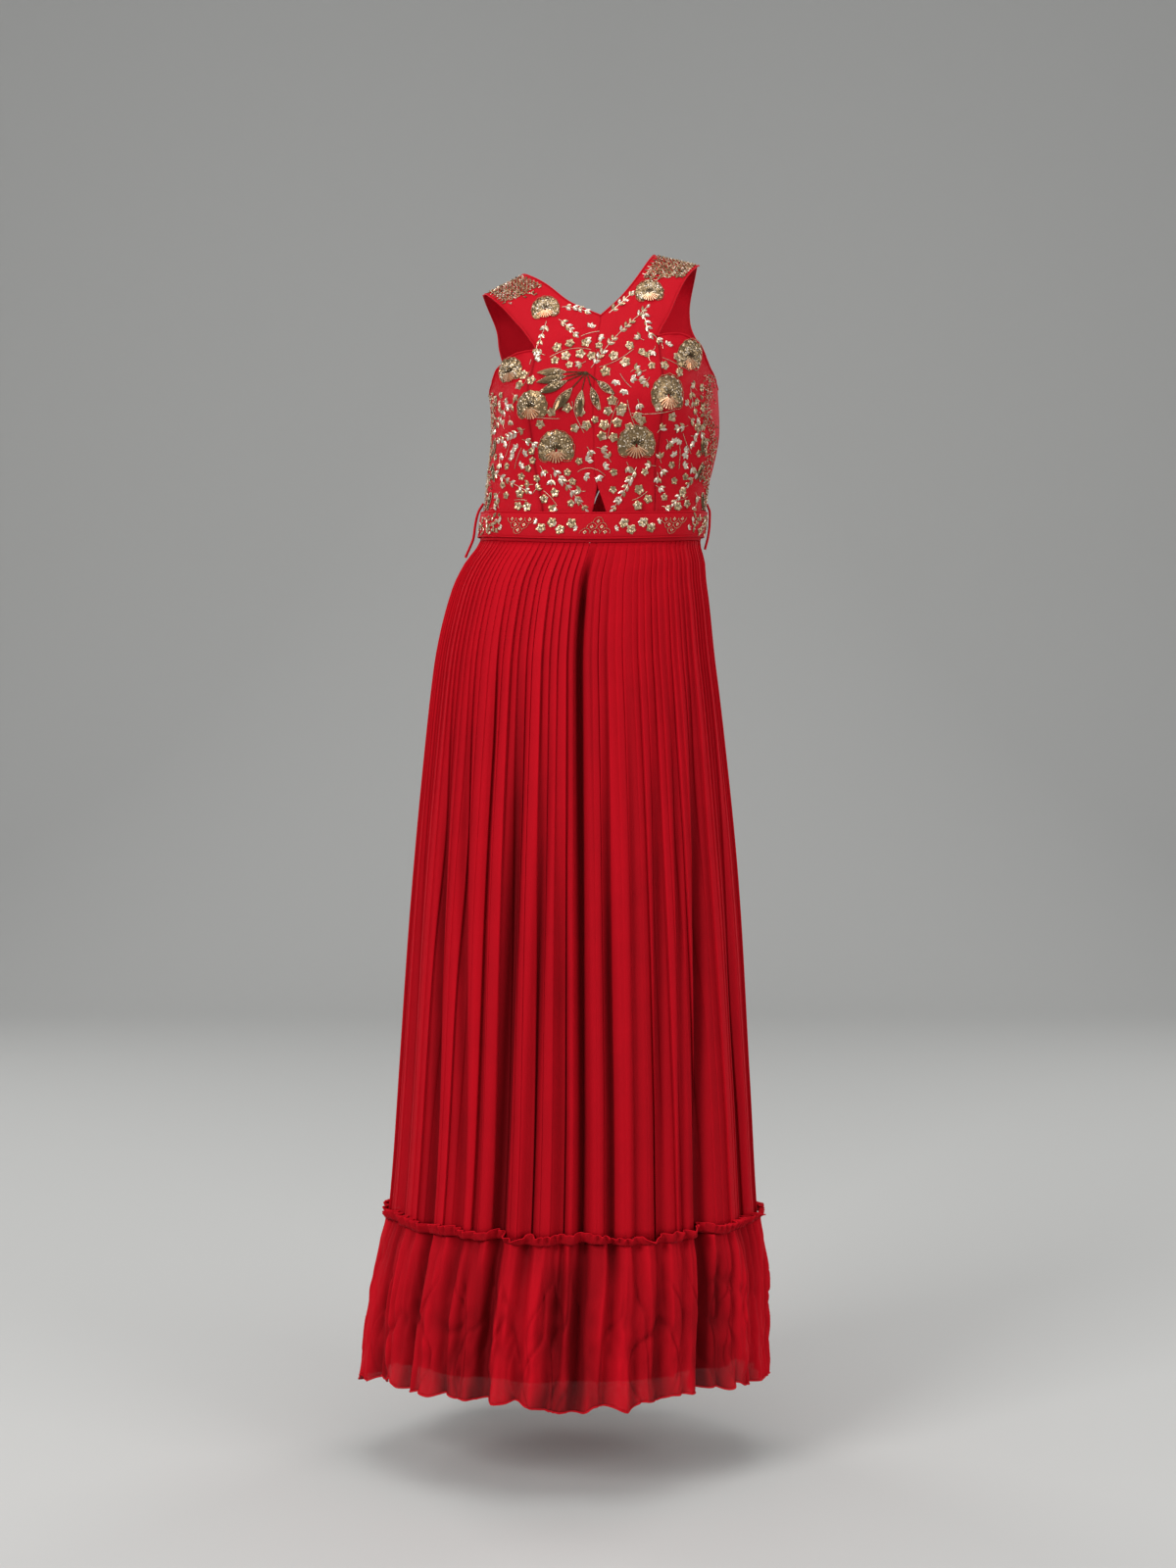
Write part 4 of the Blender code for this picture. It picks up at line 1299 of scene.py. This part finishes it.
SPRAYS = (  # across, down, turn, length, bend, pairs
    (-0.5, 14.5, 55, 9.0, -15, 10),
    (1.0, 8.0, 35, 3.5, 5, 4),
    (5.0, 8.0, -75, 3.5, 15, 4),
    (-4.5, 6.5, -5, 3.0, -30, 4),
    (-6.5, 8.0, -105, 3.5, 0, 4),
    (-5.0, 8.0, -40, 3.0, -10, 4),
    (-5.0, 26.0, -55, 5.5, 5, 8),
    (5.0, 26.0, -125, 5.5, -5, 8),
    (-8.5, 21.5, -165, 5.0, -10, 6),
    (-14.0, 26.0, -25, 6.0, 0, 6),
    (12.0, 20.0, -30, 4.0, -20, 5),
    (14.0, 26.0, -145, 6.0, 10, 6),
    (-12.0, 18.5, -130, 4.0, -20, 4),
    (12.5, 17.0, -70, 3.5, 10, 4),
)
CLUSTERS = (  # across, down, turn, length, bend, how many, kind
    (-5.5, 12.5, 25, 6.0, -25, 7, "flower"),
    (0.5, 14.5, 10, 5.0, 5, 4, "flower"),
    (3.0, 15.5, -60, 2.5, 0, 3, "bud"),
    (3.0, 18.5, -115, 5.5, -10, 7, "flower"),
    (-2.5, 18.5, -80, 4.5, 45, 4, "flower"),
    (4.0, 18.5, -80, 4.0, -10, 3, "flower"),
    (-2.0, 26.5, 30, 4.0, -55, 4, "bud"),
    (-6.5, 28.5, -35, 2.5, 0, 3, "flower"),
    (4.0, 29.5, 15, 2.5, 0, 3, "flower"),
    (-10.5, 29.5, 10, 2.0, 0, 3, "flower"),
    (9.5, 29.5, 0, 2.5, 0, 3, "flower"),
    (-10.0, 26.0, 80, 3.0, 0, 4, "bud"),
    (10.5, 26.0, 80, 3.5, 0, 4, "bud"),
    (-8.0, 14.0, -100, 2.5, 0, 3, "flower"),
    (8.0, 14.0, -20, 5.0, -20, 4, "flower"),
    (-8.0, 13.0, 90, 0.6, 0, 1, "bud"),
    (8.0, 13.0, 90, 0.6, 0, 1, "bud"),
    (4.5, 20.0, -5, 6.5, 0, 3, "flower"),
    (-4.0, 20.5, 180, 5.0, 10, 3, "flower"),
    (11.0, 22.0, -70, 3.0, 0, 3, "bud"),
    (-11.0, 22.5, -100, 2.5, 0, 3, "bud"),
    (-2.0, 10.5, 20, 2.5, 0, 3, "bud"),
)
for place in SPRAYS:
    spray(*place)
for place in CLUSTERS:
    cluster(*place)
for way in (1, -1):
    for down, turn in ((25.0, -105), (28.5, -60), (22.0, -80)):
        leaf(14.5 * way, down, turn if way > 0 else 180 - turn, 2.4, 0.25)


def room(across, down):
    """Whether a sprig fits on the cloth here."""
    if down > 26.5 and abs(across) < 1.5 + (down - 26.5) * 0.1:
        return False
    if down < 16.5 and abs(across) > 8.0:
        return False
    return down > 11.5 or abs(across) < 3.5


for _ in range(1500):
    across, down = chance.uniform(-15, 15), chance.uniform(10.0, 30.3)
    taken = np.array([row[:2] for rows in stitches.values() for row in rows])
    if room(across, down) and np.min(np.hypot(taken[:, 0] - across, taken[:, 1] - down)) > 0.80:
        turn = chance.uniform(0, 360)
        if chance.uniform() < 0.35:
            flower(across, down, 0.48)
        else:
            for swing in (-32, 8, 44):
                lay("leaf", across, down, turn + swing, 0.85, chance.choice([0.55, 0.8, 0.97]), 1.0, 0.02, 10)
            stem(bent(across, down, turn + 180, 0.6, 30, 4), 0.5, 0.075)
print("front:", sum(len(v) for v in stitches.values()), "stitches so far")


# %% Shoulder lattice and the dense side bands
def on_strap(neck, arm, where, share, behind=False):
    """A place in centimetres on a strap, from its pattern lines."""
    (x0, z0), (x1, z1) = along(neck, where), along(arm, where)
    x, z = x0 + (x1 - x0) * share, z0 + (z1 - z0) * share
    turn = angle_of(x, z, behind)
    row = int(np.clip(round(-float(z) / 0.005), 0, 69))
    return float(np.interp(turn, ARC_ANGLES, ARCS[row])) * 100, -float(z) * 100


for side in (1, -1):
    for behind in (False, True):
        neck = (BACK_NECK_LINE if behind else FRONT_NECK)[side]
        arm = (BACK_ARMHOLE if behind else FRONT_STRAP)[side]
        for i in range(17):
            for j in range(11):
                where = 0.992 - i * 0.0230
                share = 0.10 + (j + 0.5 * (i % 2)) * 0.078
                if share > 0.92 or (i > 12 and chance.uniform() < (i - 12) / 5):
                    continue
                across, down = on_strap(neck, arm, where, share, behind)
                way = 35 if (i + j) % 2 else -35
                lay("bugle", side * across, down, way, 0.22, chance.uniform(0.15, 0.95), 1.3, 0.0, 15)
                lay("bead", side * across + 0.14, down, 0, 0.115, chance.uniform(0.0, 1.0), 1.0, 0.05)
for side in (1, -1):
    for k in range(640):
        down = chance.uniform(15.5, 30.6)
        middle = 16.3 + 0.5 * math.sin(down * 0.9)
        across = side * (middle + chance.normal(0, 0.75))
        if k % 3:
            lay("bead", across, down, 0, chance.uniform(0.06, 0.10), chance.uniform(0.1, 0.95), 1.0, 0.04)
        else:
            lay("bugle", across, down, chance.uniform(0, 180), 0.14, chance.uniform(0.3, 0.9), 0.9, 0.04, 15)
    for k in range(9):
        lay("leaf", side * 15.2, 16.5 + k * 1.5, 90 + side * (60 if k % 2 else 115), 0.9, 0.35, 1.0, 0.02, 6)


# %% [markdown]
# ## Embroidery: the belt
# The belt repeats one panel of a scalloped lattice. The middle one stands up as an arch and its
# neighbours hang down, and between them lies a group of four flowers with silver leaves.
# %% Belt
BELT_MIDDLE = (31.0 + 33.6) / 2
BELT_REPEAT = 11.5


def scallops(across, up):
    """A lattice of small arches in three courses, with a four-dot flower in each."""
    for course in range(3):
        for k in range(3 - course):
            x = across + (k - (2 - course) / 2) * 1.15
            y = BELT_MIDDLE + up * (0.85 - course * 0.62)
            arch = [(x + 0.58 * math.cos(a), y - up * 0.62 * math.sin(a)) for a in np.linspace(0, math.pi, 9)]
            line_of("bead", arch, 0.125, 0.055, 0.6, 1.0, 0.03)
            for turn in range(0, 360, 90):
                lay("sequin", *from_here(x, y - up * 0.18, turn, 0.12), turn, 0.09, 0.7, 1.0, 0.03, 15)


for k in range(-1, 2):
    scallops(k * BELT_REPEAT * 0.8, 1 if k == 0 else -1)
for side in (1, -1):
    for step, height in ((3.0, -0.35), (4.1, 0.40), (5.3, -0.40), (6.4, 0.25)):
        flower(side * step, BELT_MIDDLE + height, 0.62)
    for step, height in ((2.2, 0.3), (4.8, -0.2), (7.1, -0.4), (11.6, 0.4), (12.0, -0.5)):
        bud(side * step, BELT_MIDDLE + height, 90 - side * 70, 0.5)
    for k in range(60):
        x, y = side * chance.uniform(12.2, 16.5), BELT_MIDDLE + chance.uniform(-1.05, 1.05)
        lay("leaf", x, y, chance.uniform(0, 360), 0.5, chance.uniform(0.3, 0.95), 1.0, 0.02, 10)
        lay("bead", x + 0.2, y, 0, 0.07, chance.uniform(0.2, 0.8), 1.0, 0.04)
print("all:", sum(len(v) for v in stitches.values()), "stitches")


# %% [markdown]
# ## Embroidery: from the list to real shapes
# Each kind becomes one piece. Its points carry the two directions, the size and the tone, and the second
# node tree does the rest.
# %% Lay every kind
def laid(kind, source, material):
    rows = np.array(stitches[kind])
    across, down, turn, size, wide, tone, lift, lean_a, lean_b = rows.T
    z = -down / 100
    on_belt = down > 31.0
    angle = arc_angle(across / 100, z)
    out = np.where(on_belt, 0.0048, creased(angle, z) + 0.0002)
    step = 0.05

    def place(a, height):
        return on_form(a, height, out)

    middle = place(angle, z)
    sideways = place(angle + step, z) - place(angle - step, z)
    upwards = place(angle, z + 0.0005) - place(angle, z - 0.0005)
    sideways /= np.linalg.norm(sideways, axis=1)[:, None]
    away = np.cross(sideways, upwards)
    away /= np.linalg.norm(away, axis=1)[:, None]
    upwards = np.cross(away, sideways)
    turn = np.radians(turn)[:, None]
    ahead = sideways * np.cos(turn) + upwards * np.sin(turn)
    beside = np.cross(away, ahead)
    tilted = away + np.tan(np.radians(lean_a))[:, None] * ahead + np.tan(np.radians(lean_b))[:, None] * beside
    mesh = bpy.data.meshes.new(kind)
    mesh.from_pydata((middle + away * (lift / 100)[:, None]).tolist(), [], [])
    height = np.minimum(np.minimum(size, wide), 1.0)
    scale = np.stack([size, wide, height], axis=1) / 100
    for label, kind_of, data in (
        ("away", "FLOAT_VECTOR", tilted),
        ("along", "FLOAT_VECTOR", ahead),
        ("size", "FLOAT_VECTOR", scale),
        ("tone", "FLOAT", np.clip(tone, 0, 1)),
    ):
        field = mesh.attributes.new(label, kind_of, "POINT")
        field.data.foreach_set(
            "vector" if kind_of != "FLOAT" else "value", data.reshape(-1).astype(np.float32)
        )
    values = {LAID_SHAPE: SHAPES[source], LAID_MATERIAL: material}
    return grown("zari_" + kind, mesh, laid_tree, values, smooth=kind == "bead")


for kind, source, material in (
    ("sequin", "sequin", metal),
    ("bead", "bead", metal),
    ("bugle", "bugle", metal),
    ("petal", "petal", metal),
    ("leaf", "leaf", metal),
    ("fan", "bugle", peach),
):
    laid(kind, source, material)
for piece in SHAPES.values():
    bpy.data.objects.remove(piece)
